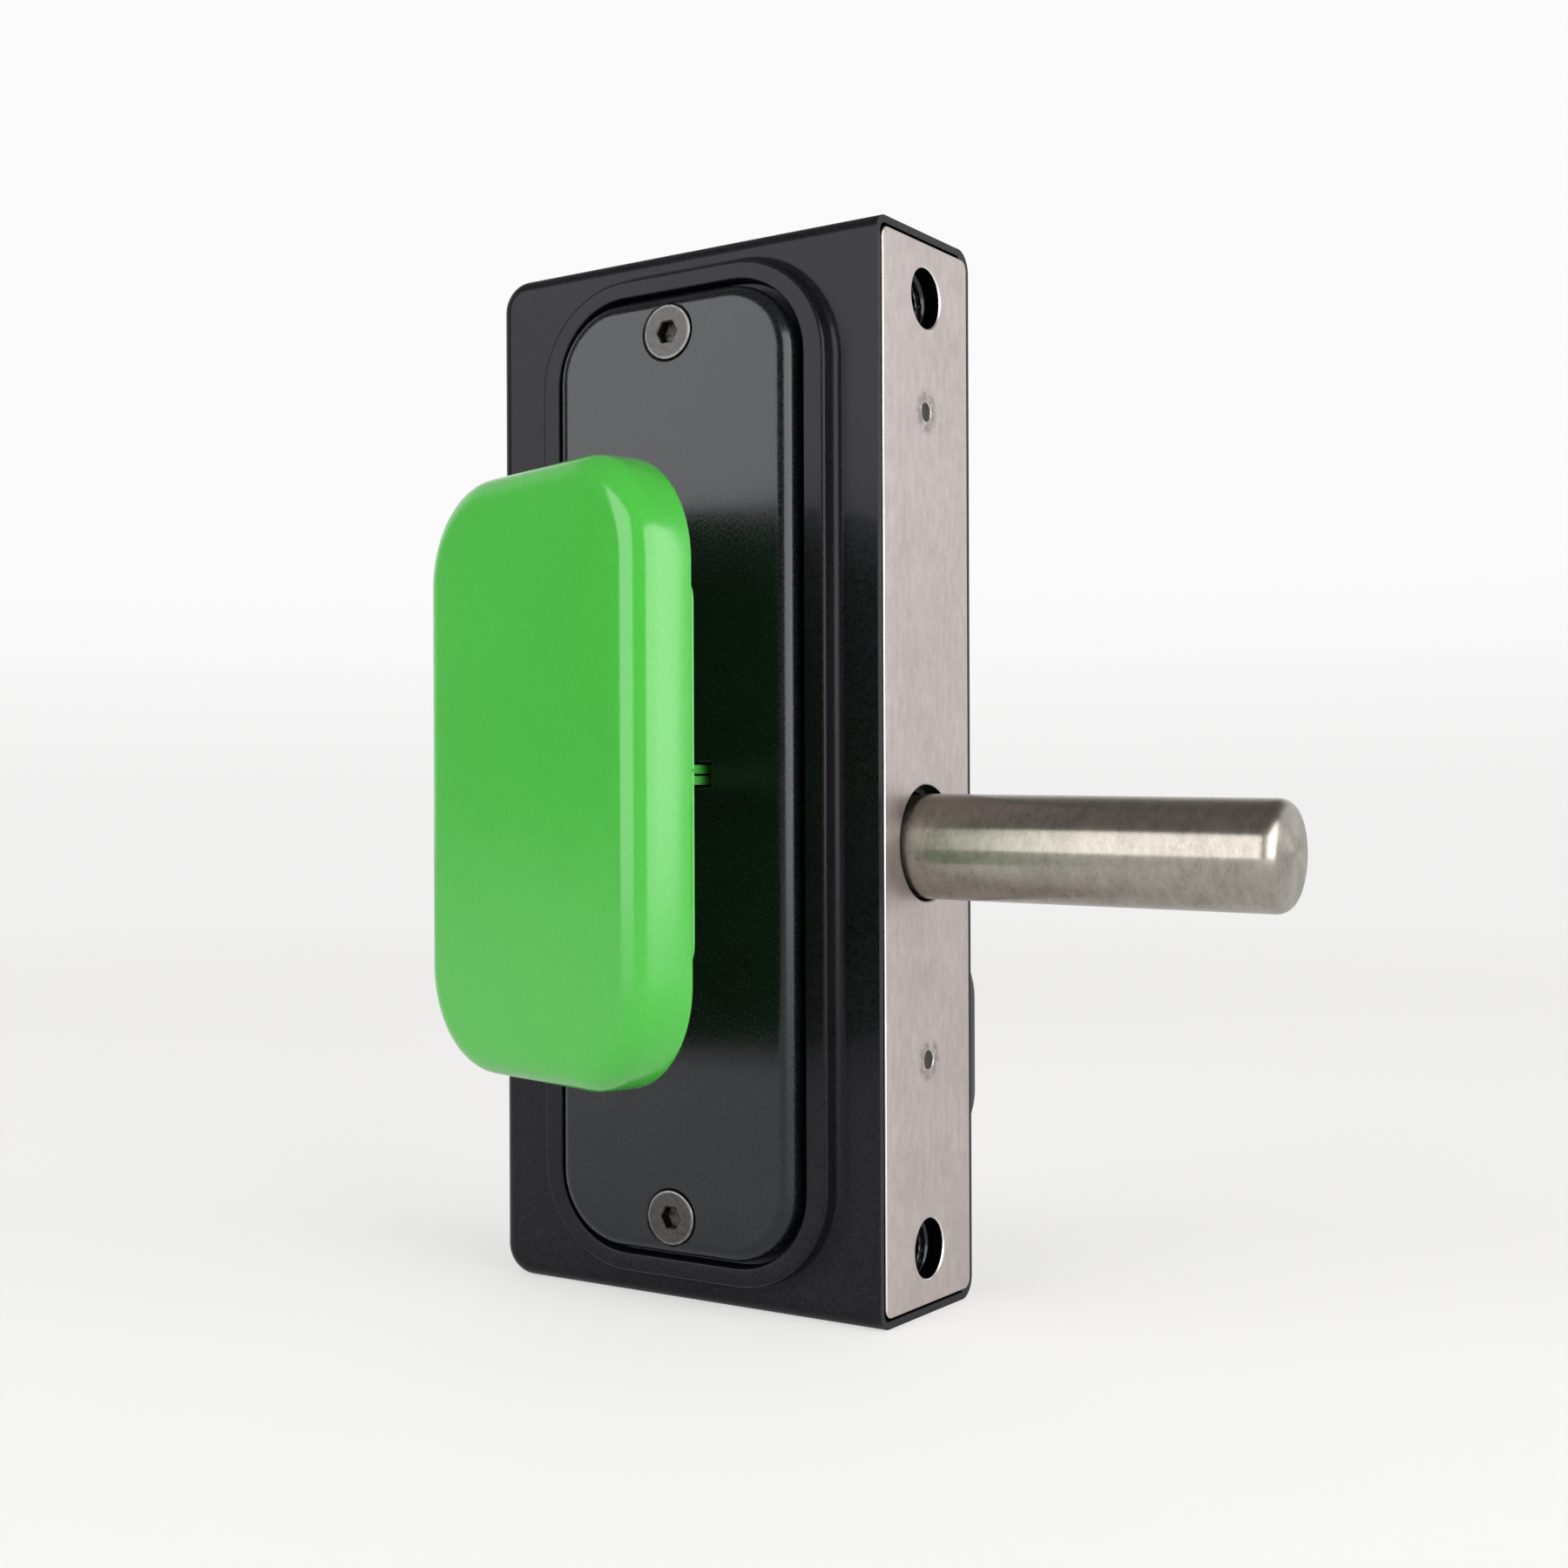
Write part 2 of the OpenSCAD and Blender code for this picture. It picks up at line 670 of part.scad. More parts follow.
// Steel plate behind the works, with ears to the faceplate, the spring and the cylinder's screw
module chassis() color("#8f9296") difference() {
    union() {
        across_y(seam_y, chassis_back) chassis_outline();
        for (z = rivet_zs)
            across_x(plate_back - chassis_t, plate_back)
                span(ear_front_y, chassis_back, z - ear_half_h, z + ear_half_h);
        across_x(chassis_left, chassis_left + chassis_t)
            span(spring_ear_front_y, chassis_back, bolt_z - ear_half_h, bolt_z + spring_ear_up);
        across_x(tab_x0, tab_x0 + chassis_t)
            span(cyl_screw_y - tab_half_w, chassis_back,
                cyl_screw_z - tab_half_w, cyl_screw_z + tab_half_w);
    }
    for (z = rivet_zs)
        across_x(plate_back - chassis_t - over, plate_back + over)
            translate([rivet_y, z]) circle(rivet_d / 2 + thread_gap);
    in_bolt_frame()
        across_x(seat_at - chassis_t - 2 * over, seat_at + over) circle(rod_neck_r + 0.1);
    across_x(tab_x0 - over, tab_x0 + chassis_t + over)
        translate([cyl_screw_y, cyl_screw_z]) circle(M5[1] + 0.2);
    across_y(seam_y - over, chassis_back + over) {
        euro_profile(cyl_gap);
        span(pivot_x - travel, pivot_x + travel, bolt_z + window_low_gap, arm_top + window_top_gap);
        for (x = post_xs, side = [-1, 1])
            translate([x, side * post_z]) circle(M4[1] + 0.2);
        for (side = [-1, 1])
            translate([cyl_x + side * guard_screw_side, guard_screw_z]) circle(M4[1] + 0.2);
        translate([lever_pivot_x, -lever_low]) circle(stud_tail_r + thread_gap);
    }
    for (side = [-1, 1])
        sink_back_y(M4, chassis_back, seam_y - over, guide_x, bolt_z + side * guide_screw_off);
}

// Front view of the chassis plate, its corners cut to clear the case's rounded corners
module chassis_outline()
    polygon([
        [plate_back, -chassis_half_h], [plate_back, chassis_half_h],
        [chassis_left + chassis_corner, chassis_half_h], [chassis_left, chassis_half_h - chassis_corner],
        [chassis_left, chassis_corner - chassis_half_h], [chassis_left + chassis_corner, -chassis_half_h]
    ]);

// Guide block that the bolt slides in, its mouth wider for the bolt's thicker free end, trapped
// between the front wall and the chassis
module bolt_guide() color("#1c1c1e") difference() {
    across_x(plate_back - guide_l, plate_back)
        span(front_in + rest_gap, seam_y, bolt_z - guide_h / 2, bolt_z + guide_h / 2);
    in_bolt_frame() {
        across_x(-guide_l, guide_l) circle(bolt_guided_r + fit_gap);
        across_x(guide_mouth_from, guide_l) circle(guide_mouth_r);
    }
    for (side = [-1, 1])
        rod_y(M4[0] + thread_gap, seam_y - guide_screw_l, seam_y + over,
            guide_x, bolt_z + side * guide_screw_off);
}

module guide_screws() color("#55565a")
    for (side = [-1, 1])
        countersunk_back_y(M4, chassis_back, seam_y, seam_y - guide_screw_l + hole_end_gap,
            guide_x, bolt_z + side * guide_screw_off);

// Bracket on the case's inner front, whose two ears hold the pivot pin
module pivot_bracket() color("#8f9296") difference() {
    union() {
        across_y(bracket_y, bracket_y + bracket_t)
            span(bracket_x0, bracket_x1, arm_up - bracket_half_h, arm_up + bracket_half_h);
        for (z = bracket_ear_zs) across_z(z, z + ear_t) bracket_ear();
    }
    for (z = bracket_ear_zs)
        across_z(z - over, z + ear_t + over) translate([pivot_x, pivot_y]) circle(pivot_d / 2 + thread_gap);
    for (side = [-1, 1])
        sink_back_y(M4, bracket_y + bracket_t, bracket_y - over,
            bracket_screw_x, arm_up + side * bracket_screw_z);
}

// Plan of one ear: a strip that passes behind the pocket's floor and ends round the pivot
module bracket_ear() {
    back = bracket_y + bracket_t;
    near = front_in + bracket_front_gap;
    neck_x = rim_x - port_w / 2 + bracket_neck_gap;
    translate([pivot_x, pivot_y]) circle(bracket_ear_r);
    polygon([
        [bracket_x1 - bracket_t, back], [bracket_x1 - bracket_t, near], [neck_x, near],
        [pivot_x, pivot_y] + bracket_ear_r * [cos(bracket_foot_deg), sin(bracket_foot_deg)],
        [pivot_x, pivot_y + bracket_ear_r], [pivot_x - slot_behind, back]
    ]);
}

module bracket_screws() color("#55565a")
    for (side = [-1, 1])
        countersunk_back_y(M4, bracket_y + bracket_t, bracket_y, front_in + bracket_front_gap,
            bracket_screw_x, arm_up + side * bracket_screw_z);

module pivot_pin() color("#b0b2b6") translate([pivot_x, pivot_y, 0]) difference() {
    union() {
        across_z(pin_clip_top - 2 * pivot_clip_t, pin_top) circle(pivot_d / 2);
        across_z(pin_top, pin_top + pivot_head_t) circle(pivot_head_r);
    }
    across_z(pin_clip_top - pivot_clip_t - groove_play, pin_clip_top + groove_play)
        ring(pivot_d, pin_groove_r);
}

// Open retaining clip in the pin's groove
module pivot_clip() color("#55565a") translate([pivot_x, pivot_y, 0])
    across_z(pin_clip_top - pivot_clip_t, pin_clip_top)
        open_ring(pivot_d / 2 + 1.6, pin_groove_r + thread_gap);

// Flat ring with a gap towards +x
module open_ring(r_out, r_in)
    difference() {
        ring(r_out, r_in);
        translate([0, -r_in * 0.8]) square([2 * r_out, r_in * 1.6]);
    }

// Places what is drawn along the bolt's own axis
module in_bolt_frame()
    translate([guide_x, 0, bolt_axis_z]) rotate([0, bolt_droop, 0]) children();

module spring_rod() color("#b0b2b6") in_bolt_frame() {
    across_x(seat_at, rod_end) circle(rod_d / 2);
    across_x(seat_at, seat_at + seat_t) circle(seat_r);
    across_x(seat_at - chassis_t, seat_at) circle(rod_neck_r);
}

// Centre line of the coil at turn t, in the bolt frame
function coil_x(t) = spring_start + spring_wire / 2
    + (spring_end - spring_start - spring_wire) * t / spring_turns;
function coil_point(t) = [coil_x(t), spring_r * cos(360 * t), spring_r * sin(360 * t)];
// Point on the wire's skin at turn t, at the angle a round the wire
function coil_skin(t, a) = [
    coil_x(t) + spring_wire / 2 * sin(a),
    (spring_r + spring_wire / 2 * cos(a)) * cos(360 * t),
    (spring_r + spring_wire / 2 * cos(a)) * sin(360 * t)
];
coil_rings = spring_turns * spring_steps;
coil_skin_points = [
    for (i = [0:coil_rings], j = [0:spring_sides - 1])
        coil_skin(i / spring_steps, 360 * j / spring_sides)
];
coil_faces = concat(
    [for (i = [0:coil_rings - 1], j = [0:spring_sides - 1]) [
        i * spring_sides + j,
        i * spring_sides + (j + 1) % spring_sides,
        (i + 1) * spring_sides + (j + 1) % spring_sides
    ]],
    [for (i = [0:coil_rings - 1], j = [0:spring_sides - 1]) [
        i * spring_sides + j,
        (i + 1) * spring_sides + (j + 1) % spring_sides,
        (i + 1) * spring_sides + j
    ]],
    [for (j = [1:spring_sides - 2]) [0, j + 1, j]],
    [for (j = [1:spring_sides - 2]) [0, j, j + 1] + coil_rings * spring_sides * [1, 1, 1]]
);
coil_gap = min([for (i = [0:coil_rings - spring_steps / 2])
    min([for (k = [i + spring_steps / 2:min(i + 2 * spring_steps, coil_rings)])
        norm(coil_point(k / spring_steps) - coil_point(i / spring_steps))])]) - spring_wire;
echo(spring_gap_to_itself = coil_gap);

module bolt_spring() color("#9a9ca0") in_bolt_frame()
    polyhedron(points = coil_skin_points, faces = coil_faces);

// Outline of the cylinder with its leg, widened all round by gap
module euro_profile(gap = 0)
    translate([cyl_x, cyl_z]) {
        circle(cyl_r + gap);
        translate([-cyl_leg_w / 2 - gap, -(cyl_leg_l - cyl_leg_w / 2)])
            square([cyl_leg_w + 2 * gap, cyl_leg_l - cyl_leg_w / 2]);
        translate([0, -(cyl_leg_l - cyl_leg_w / 2)]) circle(cyl_leg_w / 2 + gap);
    }

// Guard that stands round the cylinder on the rear face
module cylinder_guard() color("#1f1f21") difference() {
    translate([cyl_x, 0, guard_z]) face_rear(guard_y) {
        straight = guard_h - guard_w;
        for (side = [-1, 1]) {
            translate([0, side * straight / 2, 0]) turned() guard_section();
            rotate(90 - side * 90) rotate([90, 0, 0])
                linear_extrude(straight, center = true) guard_section();
        }
    }
    across_y(rear_y - over, guard_y + over) euro_profile(cyl_gap);
    for (side = [-1, 1])
        rod_y(M4[0] + thread_gap, rear_y - over, rear_y + guard_screw_l,
            cyl_x + side * guard_screw_side, guard_screw_z);
}

// Section of the guard from its middle line out to its rounded side
module guard_section()
    translate([guard_w / 2, 0]) mirror([1, 0]) lip_section(guard_w / 2, guard_rise, guard_edge_r);

// Pan head screws through the chassis and the rear cover into the guard
module guard_screws() color("#55565a")
    for (side = [-1, 1]) translate([cyl_x + side * guard_screw_side, 0, guard_screw_z]) {
        rod_y(M4[2] - free_gap, seam_y - pan_head_t, seam_y, 0, 0);
        rod_y(M4[1], seam_y - pan_head_t, rear_y, 0, 0);
        rod_y(M4[0], seam_y - pan_head_t, rear_y + guard_screw_l - hole_end_gap, 0, 0);
    }

// Half cylinder, cut out round the cam
module cylinder_body() color("#a8a59a") difference() {
    across_y(cam_y0 - cyl_blind_l, guard_y) euro_profile();
    across_y(cam_y0, cam_y1) translate([cyl_x, cyl_z]) circle(cam_r + 0.5);
    rod_y(plug_r + fit_gap, cam_y0, guard_y + over, cyl_x, cyl_z);
    across_x(cyl_x - cyl_leg_w, cyl_x + cyl_leg_w)
        translate([cyl_screw_y, cyl_screw_z]) circle(M5[0] + thread_gap);
}

module cylinder_screw() color("#55565a") {
    across_x(tab_x0 - pan_head_t, tab_x0) translate([cyl_screw_y, cyl_screw_z]) circle(cyl_screw_head_r);
    across_x(tab_x0 - pan_head_t, tab_x0 + chassis_t)
        translate([cyl_screw_y, cyl_screw_z]) circle(M5[1]);
    across_x(tab_x0 - pan_head_t, cyl_x + cyl_leg_w / 2)
        translate([cyl_screw_y, cyl_screw_z]) circle(M5[0]);
}

// Turning plug with its keyway and the nose that carries the cam
module cylinder_plug() color("#b9b39a") difference() {
    union() {
        rod_y(plug_r, cam_y1 - cam_gap, guard_y - 0.2, cyl_x, cyl_z);
        rod_y(cam_nose_r, cam_y0 + cam_gap, cam_y1, cyl_x, cyl_z);
        across_y(cam_y0 + cam_gap, cam_y1) cam_key();
    }
    across_y(guard_y - key_slot_l, guard_y + over) translate([cyl_x, cyl_z])
        span(-key_slot_w / 2, key_slot_w / 2,
            -key_slot_h / 2 - key_slot_drop, key_slot_h / 2 - key_slot_drop);
}

// Key between the plug's nose and the cam, widened all round by gap
module cam_key(gap = 0)
    translate([cyl_x, cyl_z])
        span(-cam_key_half_w - gap, cam_key_half_w + gap, 0, cam_nose_r + cam_key_rise + gap);

module cylinder_cam() color("#8f9296") difference() {
    across_y(cam_y0 + cam_gap, cam_y1 - cam_gap) translate([cyl_x, cyl_z]) {
        circle(cam_hub_r);
        intersection() {
            circle(cam_r);
            span(-cam_tip_w / 2, cam_tip_w / 2, -cam_r - over, 0);
        }
    }
    rod_y(cam_nose_r + thread_gap, cam_y0, cam_y1, cyl_x, cyl_z);
    across_y(cam_y0, cam_y1) cam_key(thread_gap);
}

// Stud on the chassis that the key lever turns on
module lever_stud() color("#b0b2b6") difference() {
    union() {
        rod_y(stud_shoulder_r, lever_y0 + lever_t + rest_gap, seam_y, lever_pivot_x, -lever_low);
        rod_y(stud_d / 2, lever_y0 - stud_proud, seam_y, lever_pivot_x, -lever_low);
        rod_y(stud_tail_r, seam_y - over, chassis_back, lever_pivot_x, -lever_low);
    }
    across_y(lever_y0 - rest_gap - lever_clip_t - groove_play, lever_y0 - rest_gap + groove_play)
        translate([lever_pivot_x, -lever_low]) ring(stud_d, stud_groove_r);
}

module lever_clip() color("#55565a")
    across_y(lever_y0 - rest_gap - lever_clip_t, lever_y0 - rest_gap)
        translate([lever_pivot_x, -lever_low]) open_ring(stud_d / 2 + 1.8, stud_groove_r + thread_gap);

// Lever that the cam pushes and whose tip works in the notch under the bolt
module key_lever() color("#8f9296")
    across_y(lever_y0, lever_y0 + lever_t) difference() {
        union() {
            bar([lever_pivot_x, -lever_low], lever_at(lever_wide_to), lever_w);
            bar(lever_at(lever_narrow_from), lever_at(1), 2 * lever_tip_r);
            span(lever_at(nose_from)[0], cyl_x + 1, nose_low_z, nose_high_z);
        }
        translate([lever_pivot_x, -lever_low]) circle(stud_d / 2 + fit_gap);
    }

// Point on the lever's centre line, as a share of the way from the stud to the tip's centre
function lever_at(share) = [
    lever_pivot_x + share * travel / 2,
    -lever_low + share * (lever_tip_z + lever_low)
];

// Round bolt, a little thinner where it is guided: tail flat and spring hole, clip groove, lever notch
module bolt() color("#8b867c") in_bolt_frame() difference() {
    translate([bolt_tip, 0, 0]) rotate([0, 90, 0]) turned()
        translate([bolt_r, 0]) mirror([1, 0]) lip_section(bolt_r, bolt_tip - bolt_tail, bolt_end_r);
    across_x(bolt_tail - over, bolt_free_from) ring(bolt_d, bolt_guided_r);
    across_x(bolt_tail - over, bolt_tail + spring_bore_l) circle(spring_bore_d / 2);
    across_x(bolt_tail - over, carriage_at + carriage_ahead + 0.2)
        span(-bolt_d, bolt_d, tail_flat, bolt_d);
    across_x(clip_at - groove_play, clip_at + clip_t + groove_play) ring(bolt_d, clip_groove_r);
    across_x(notch_at - lever_tip_r - free_gap, notch_at + lever_tip_r + free_gap)
        span(lever_y0 - notch_play, lever_y0 + lever_t + notch_play, -bolt_d, -notch_roof);
    for (side = [-1, 1]) across_z(tail_flat - carriage_screw_l - 0.4, tail_flat + over)
        translate([carriage_screw_at, side * carriage_screw_y]) circle(M3[0] + thread_gap);
}

// Retaining ring behind the guide block, which stops the bolt's outward travel
module bolt_clip() color("#55565a") in_bolt_frame()
    across_x(clip_at, clip_at + clip_t) difference() {
        ring(clip_out_r, clip_groove_r + thread_gap);
        polygon([
            [0, 0],
            2 * clip_out_r * [-sin(clip_open_deg), cos(clip_open_deg)],
            2 * clip_out_r * [sin(clip_open_deg), cos(clip_open_deg)]
        ]);
    }

// Forked plate on the bolt's tail that the drive pin pushes
module bolt_carriage() color("#8f9296") in_bolt_frame() difference() {
    across_z(tail_flat, tail_flat + carriage_t) difference() {
        union() {
            span(bolt_tail, carriage_at + carriage_ahead, -carriage_half_w, carriage_half_w);
            span(carriage_at - fork_half_w - prong_w, carriage_at + fork_half_w + prong_w, 0, fork_end_y);
        }
        translate([carriage_at, drive_y - free_gap]) circle(fork_half_w);
        span(carriage_at - fork_half_w, carriage_at + fork_half_w, drive_y - free_gap, fork_end_y + over);
    }
    for (side = [-1, 1]) translate([carriage_screw_at, side * carriage_screw_y, 0]) {
        across_z(tail_flat - over, tail_flat + carriage_t + over) circle(M3[1] + 0.1);
        translate([0, 0, tail_flat + carriage_t - carriage_sink])
            cylinder(h = carriage_sink + over, r1 = M3[1] + 0.1, r2 = M3[2] + 0.1 + over);
    }
}

module carriage_screws() color("#55565a") in_bolt_frame()
    for (side = [-1, 1]) translate([carriage_screw_at, side * carriage_screw_y, 0]) {
        across_z(tail_flat - carriage_screw_l, tail_flat + carriage_t) circle(M3[0]);
        across_z(tail_flat, tail_flat + carriage_t) circle(M3[1]);
        translate([0, 0, tail_flat + carriage_t - carriage_sink])
            cylinder(h = carriage_sink, r1 = M3[1], r2 = M3[2]);
    }

// Places what is drawn square to the push pad at rest, with y = 0 in the middle of its thickness
module in_pad_frame()
    translate([pad_x, pad_y, pad_up]) rotate([0, 0, -pad_turn]) children();

module push_pad() color("#4bb446") in_pad_frame() difference() {
    face_front(-pad_t / 2) {
        sweep_rect(pad_w, pad_h, pad_r) intersection() {
            lip_section(pad_r, pad_t, pad_front_r);
            translate([0, -pad_t]) mirror([0, 1]) lip_section(pad_r, pad_t, pad_back_r);
        }
        translate([pad_r - pad_w / 2, pad_r - pad_h / 2, -pad_t])
            cube([pad_w - 2 * pad_r, pad_h - 2 * pad_r, pad_t]);
    }
    for (sx = [-1, 1], sz = [-1, 1])
        rod_y(M4[0] + thread_gap, pad_t / 2 - pad_screw_l, pad_t / 2 + over,
            sx * pad_screw_x, sz * pad_screw_z);
}

// Countersunk screws through the arm plates' flanges into the back of the pad
module pad_screws() color("#55565a") in_pad_frame()
    for (sx = [-1, 1], sz = [-1, 1])
        countersunk_back_y(pad_screw_size, pad_t / 2 + arm_t, pad_t / 2,
            pad_t / 2 - pad_screw_l + hole_end_gap, sx * pad_screw_x, sz * pad_screw_z);

// Plan of the arms from the pad to the round edge inside the case
module web_plan() {
    translate([pivot_x, pivot_y]) {
        circle(hub_collar_r);
        intersection() {
            circle(web_r);
            wedge(web_left_deg, web_inner_deg, 3 * web_r);
        }
    }
    intersection() {
        translate([pivot_x, pivot_y]) wedge(web_left_deg, web_right_deg, 3 * web_r);
        translate([pad_x, pad_y]) rotate(-pad_turn) span(-flange_half_w, flange_half_w, pad_t / 2, pad_h);
    }
}

// Triangle fan from the angle a to the angle b, at least as far out as r
module wedge(a, b, r) {
    m = (a + b) / 2;
    far = r / cos((b - a) / 4);
    polygon([[0, 0], far * [cos(a), sin(a)], far * [cos(m), sin(m)], far * [cos(b), sin(b)]]);
}

// One flange behind the pad, from the height z0 to z1 over the pad's middle, round at its far end
module flange(z0, z1, far)
    in_pad_frame() across_y(pad_t / 2, pad_t / 2 + arm_t) {
        turn_z = z1 - far * flange_r;
        span(-flange_half_w, flange_half_w, min(z0, turn_z), max(z0, turn_z));
        for (side = [-1, 1]) translate([side * (flange_half_w - flange_r), turn_z]) circle(flange_r);
        span(flange_r - flange_half_w, flange_half_w - flange_r, min(z0, z1), max(z0, z1));
    }

module flange_screw_holes(sz)
    in_pad_frame() for (sx = [-1, 1])
        sink_back_y(pad_screw_size, pad_t / 2 + arm_t, pad_t / 2 - over,
            sx * pad_screw_x, sz * pad_screw_z);

module arm_plate_upper() color("#43a83f") difference() {
    union() {
        across_z(arm_top - arm_t, arm_top) web_plan();
        flange(arm_top - arm_t - pad_up, flange_reach, 1);
    }
    arm_holes(arm_top - arm_t, arm_top);
    flange_screw_holes(1);
}

// Lower arm, which alone carries on past the pivot to the drive pin
module arm_plate_lower() color("#43a83f") difference() {
    union() {
        across_z(arm_low, arm_low + arm_t) {
            web_plan();
            bar([pivot_x, pivot_y], [drive_x, drive_y], 2 * drive_end_r);
        }
        flange(arm_low + arm_t - pad_up, -flange_reach, -1);
    }
    arm_holes(arm_low, arm_low + arm_t);
    across_z(arm_low - over, arm_low + arm_t + over)
        translate([drive_x, drive_y]) circle(drive_neck_r + thread_gap);
    flange_screw_holes(-1);
}

// Holes for the hub and the rivet through one arm plate
module arm_holes(z0, z1)
    across_z(z0 - over, z1 + over) {
        translate([pivot_x, pivot_y]) circle(hub_r + thread_gap);
        translate([pivot_x + rivet_at_r, pivot_y]) circle(rivet_d / 2 + thread_gap);
    }

// Bush that both arm plates sit on, with a collar between them
module paddle_hub() color("#b08d4a") translate([pivot_x, pivot_y, 0]) {
    across_z(arm_low - bracket_gap + rest_gap, arm_top + bracket_gap - rest_gap) ring(hub_r, hub_bore_r);
    across_z(arm_low + arm_t, arm_top - arm_t) ring(hub_collar_r, hub_bore_r);
}

module arm_rivet() color("#43a83f") translate([pivot_x + rivet_at_r, pivot_y, 0]) {
    across_z(arm_low, arm_top) circle(rivet_d / 2);
    across_z(arm_low + arm_t, arm_top - arm_t) circle(rivet_head_r);
}

// Pin under the lower arm that works in the carriage's fork
module drive_pin() color("#b0b2b6") translate([drive_x, drive_y, 0]) {
    across_z(drive_pin_low, arm_low) circle(drive_d / 2);
    across_z(drive_pin_low, arm_low + arm_t) circle(drive_neck_r);
}

case_shell();
rear_cover();
rear_screws();
inner_cover();
cover_screws();
faceplate();
faceplate_rivets();
fixing_sleeves();
chassis();
bolt_guide();
guide_screws();
pivot_bracket();
bracket_screws();
pivot_pin();
pivot_clip();
spring_rod();
bolt_spring();
cylinder_guard();
guard_screws();
cylinder_body();
cylinder_screw();
lever_stud();
lever_clip();
cylinder_plug();
cylinder_cam();
key_lever();
bolt();
bolt_clip();
bolt_carriage();
carriage_screws();
push_pad();
pad_screws();
arm_plate_upper();
arm_plate_lower();
paddle_hub();
arm_rivet();
drive_pin();
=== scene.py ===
# Looks of the push-pad gate lock: pressed case, inner cover, faceplate, bolt, push pad, screws,
# threads and springs as fine surfaces, materials for every CAD node, floor, lamps and camera.
import math
import bmesh
import bpy
import numpy as np
from mathutils import Matrix, Vector


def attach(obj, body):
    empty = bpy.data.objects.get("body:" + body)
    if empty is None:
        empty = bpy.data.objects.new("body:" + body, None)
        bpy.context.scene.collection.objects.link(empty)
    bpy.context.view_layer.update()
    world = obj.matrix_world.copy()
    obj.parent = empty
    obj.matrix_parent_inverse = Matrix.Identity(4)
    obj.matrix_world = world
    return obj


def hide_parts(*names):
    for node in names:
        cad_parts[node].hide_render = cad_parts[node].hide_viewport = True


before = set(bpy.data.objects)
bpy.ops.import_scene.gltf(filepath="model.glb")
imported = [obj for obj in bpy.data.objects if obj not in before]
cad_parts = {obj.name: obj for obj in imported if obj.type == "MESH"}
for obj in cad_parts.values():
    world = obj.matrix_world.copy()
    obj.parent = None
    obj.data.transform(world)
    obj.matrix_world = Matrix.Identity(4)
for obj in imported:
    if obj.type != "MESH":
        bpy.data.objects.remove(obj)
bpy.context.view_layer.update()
mm = 0.001
scene = bpy.context.scene
print("frame loaded")


# Surfaces from arrays

# One value of every vertex or face, as rows of an array
def readAll(items, field, width=1):
    values = np.empty(len(items) * width, dtype=np.float32)
    items.foreach_get(field, values)
    return values.reshape(-1, width)


# Sum over all faces of area * (centre - place) . normal: above 0 where a skin looks away from the place
def facingAway(mesh, place):
    lean = (readAll(mesh.polygons, "center", 3) - place) * readAll(mesh.polygons, "normal", 3)
    return (lean.sum(axis=1) * readAll(mesh.polygons, "area")[:, 0]).sum()


# A patch is a grid of points, rows by columns by 3, in millimetres. Neighbouring rows and columns
# make quads. Patches that share an edge are welded into one mesh, and faces are turned outwards: an
# open skin has to look away from the point outwardFrom.
def weldPatches(name, patches, sharpAngle=32.0, outwardFrom=None):
    points, faces, start = [], [], 0
    for grid in patches:
        rows, columns = grid.shape[:2]
        index = start + np.arange(rows * columns).reshape(rows, columns)
        quads = np.stack([index[:-1, :-1], index[:-1, 1:], index[1:, 1:], index[1:, :-1]], axis=-1)
        points.append(grid.reshape(-1, 3) * mm)
        faces.append(quads.reshape(-1, 4))
        start += rows * columns
    mesh = bpy.data.meshes.new(name)
    mesh.from_pydata(np.concatenate(points).tolist(), [], np.concatenate(faces).tolist())
    work = bmesh.new()
    work.from_mesh(mesh)
    bmesh.ops.remove_doubles(work, verts=work.verts, dist=2e-6)
    bmesh.ops.dissolve_degenerate(work, edges=work.edges, dist=1e-7)
    bmesh.ops.recalc_face_normals(work, faces=work.faces)
    work.to_mesh(mesh)
    work.free()
    if outwardFrom is not None and facingAway(mesh, np.array(outwardFrom) * mm) < 0:
        mesh.flip_normals()
    mesh.shade_smooth()
    mesh.set_sharp_from_angle(angle=math.radians(sharpAngle))
    markOpenEdges(mesh)
    piece = bpy.data.objects.new(name, mesh)
    scene.collection.objects.link(piece)
    return piece


# Open edges are sharp, so that a wall's narrow side doesn't shade into its face
def markOpenEdges(mesh):
    used = np.empty(len(mesh.loops), dtype=np.int32)
    mesh.loops.foreach_get("edge_index", used)
    count = np.bincount(used, minlength=len(mesh.edges))
    layer = mesh.attributes.get("sharp_edge") or mesh.attributes.new("sharp_edge", "BOOLEAN", "EDGE")
    sharp = np.zeros(len(mesh.edges), dtype=bool)
    layer.data.foreach_get("value", sharp)
    layer.data.foreach_set("value", sharp | (count == 1))


# Sheet wall inwards from the skin, its edges broken by a round of the width edgeRound
def sheetWall(piece, thickness, edgeRound, even):
    wall = piece.modifiers.new("wall", "SOLIDIFY")
    wall.thickness = thickness * mm
    wall.offset = -1.0
    wall.use_even_offset = even
    edge = piece.modifiers.new("edge", "BEVEL")
    edge.width = edgeRound * mm
    edge.segments = 2
    edge.limit_method = "ANGLE"
    edge.angle_limit = math.radians(50)
    edge.harden_normals = True


# Quarter turns and other arcs as (n, 2) arrays: centre + radius * (cos a, sin a)
def arc(centreX, centreY, radius, fromDeg, toDeg, steps):
    a = np.radians(np.linspace(fromDeg, toDeg, steps + 1))
    return np.stack([centreX + radius * np.cos(a), centreY + radius * np.sin(a)], axis=1)


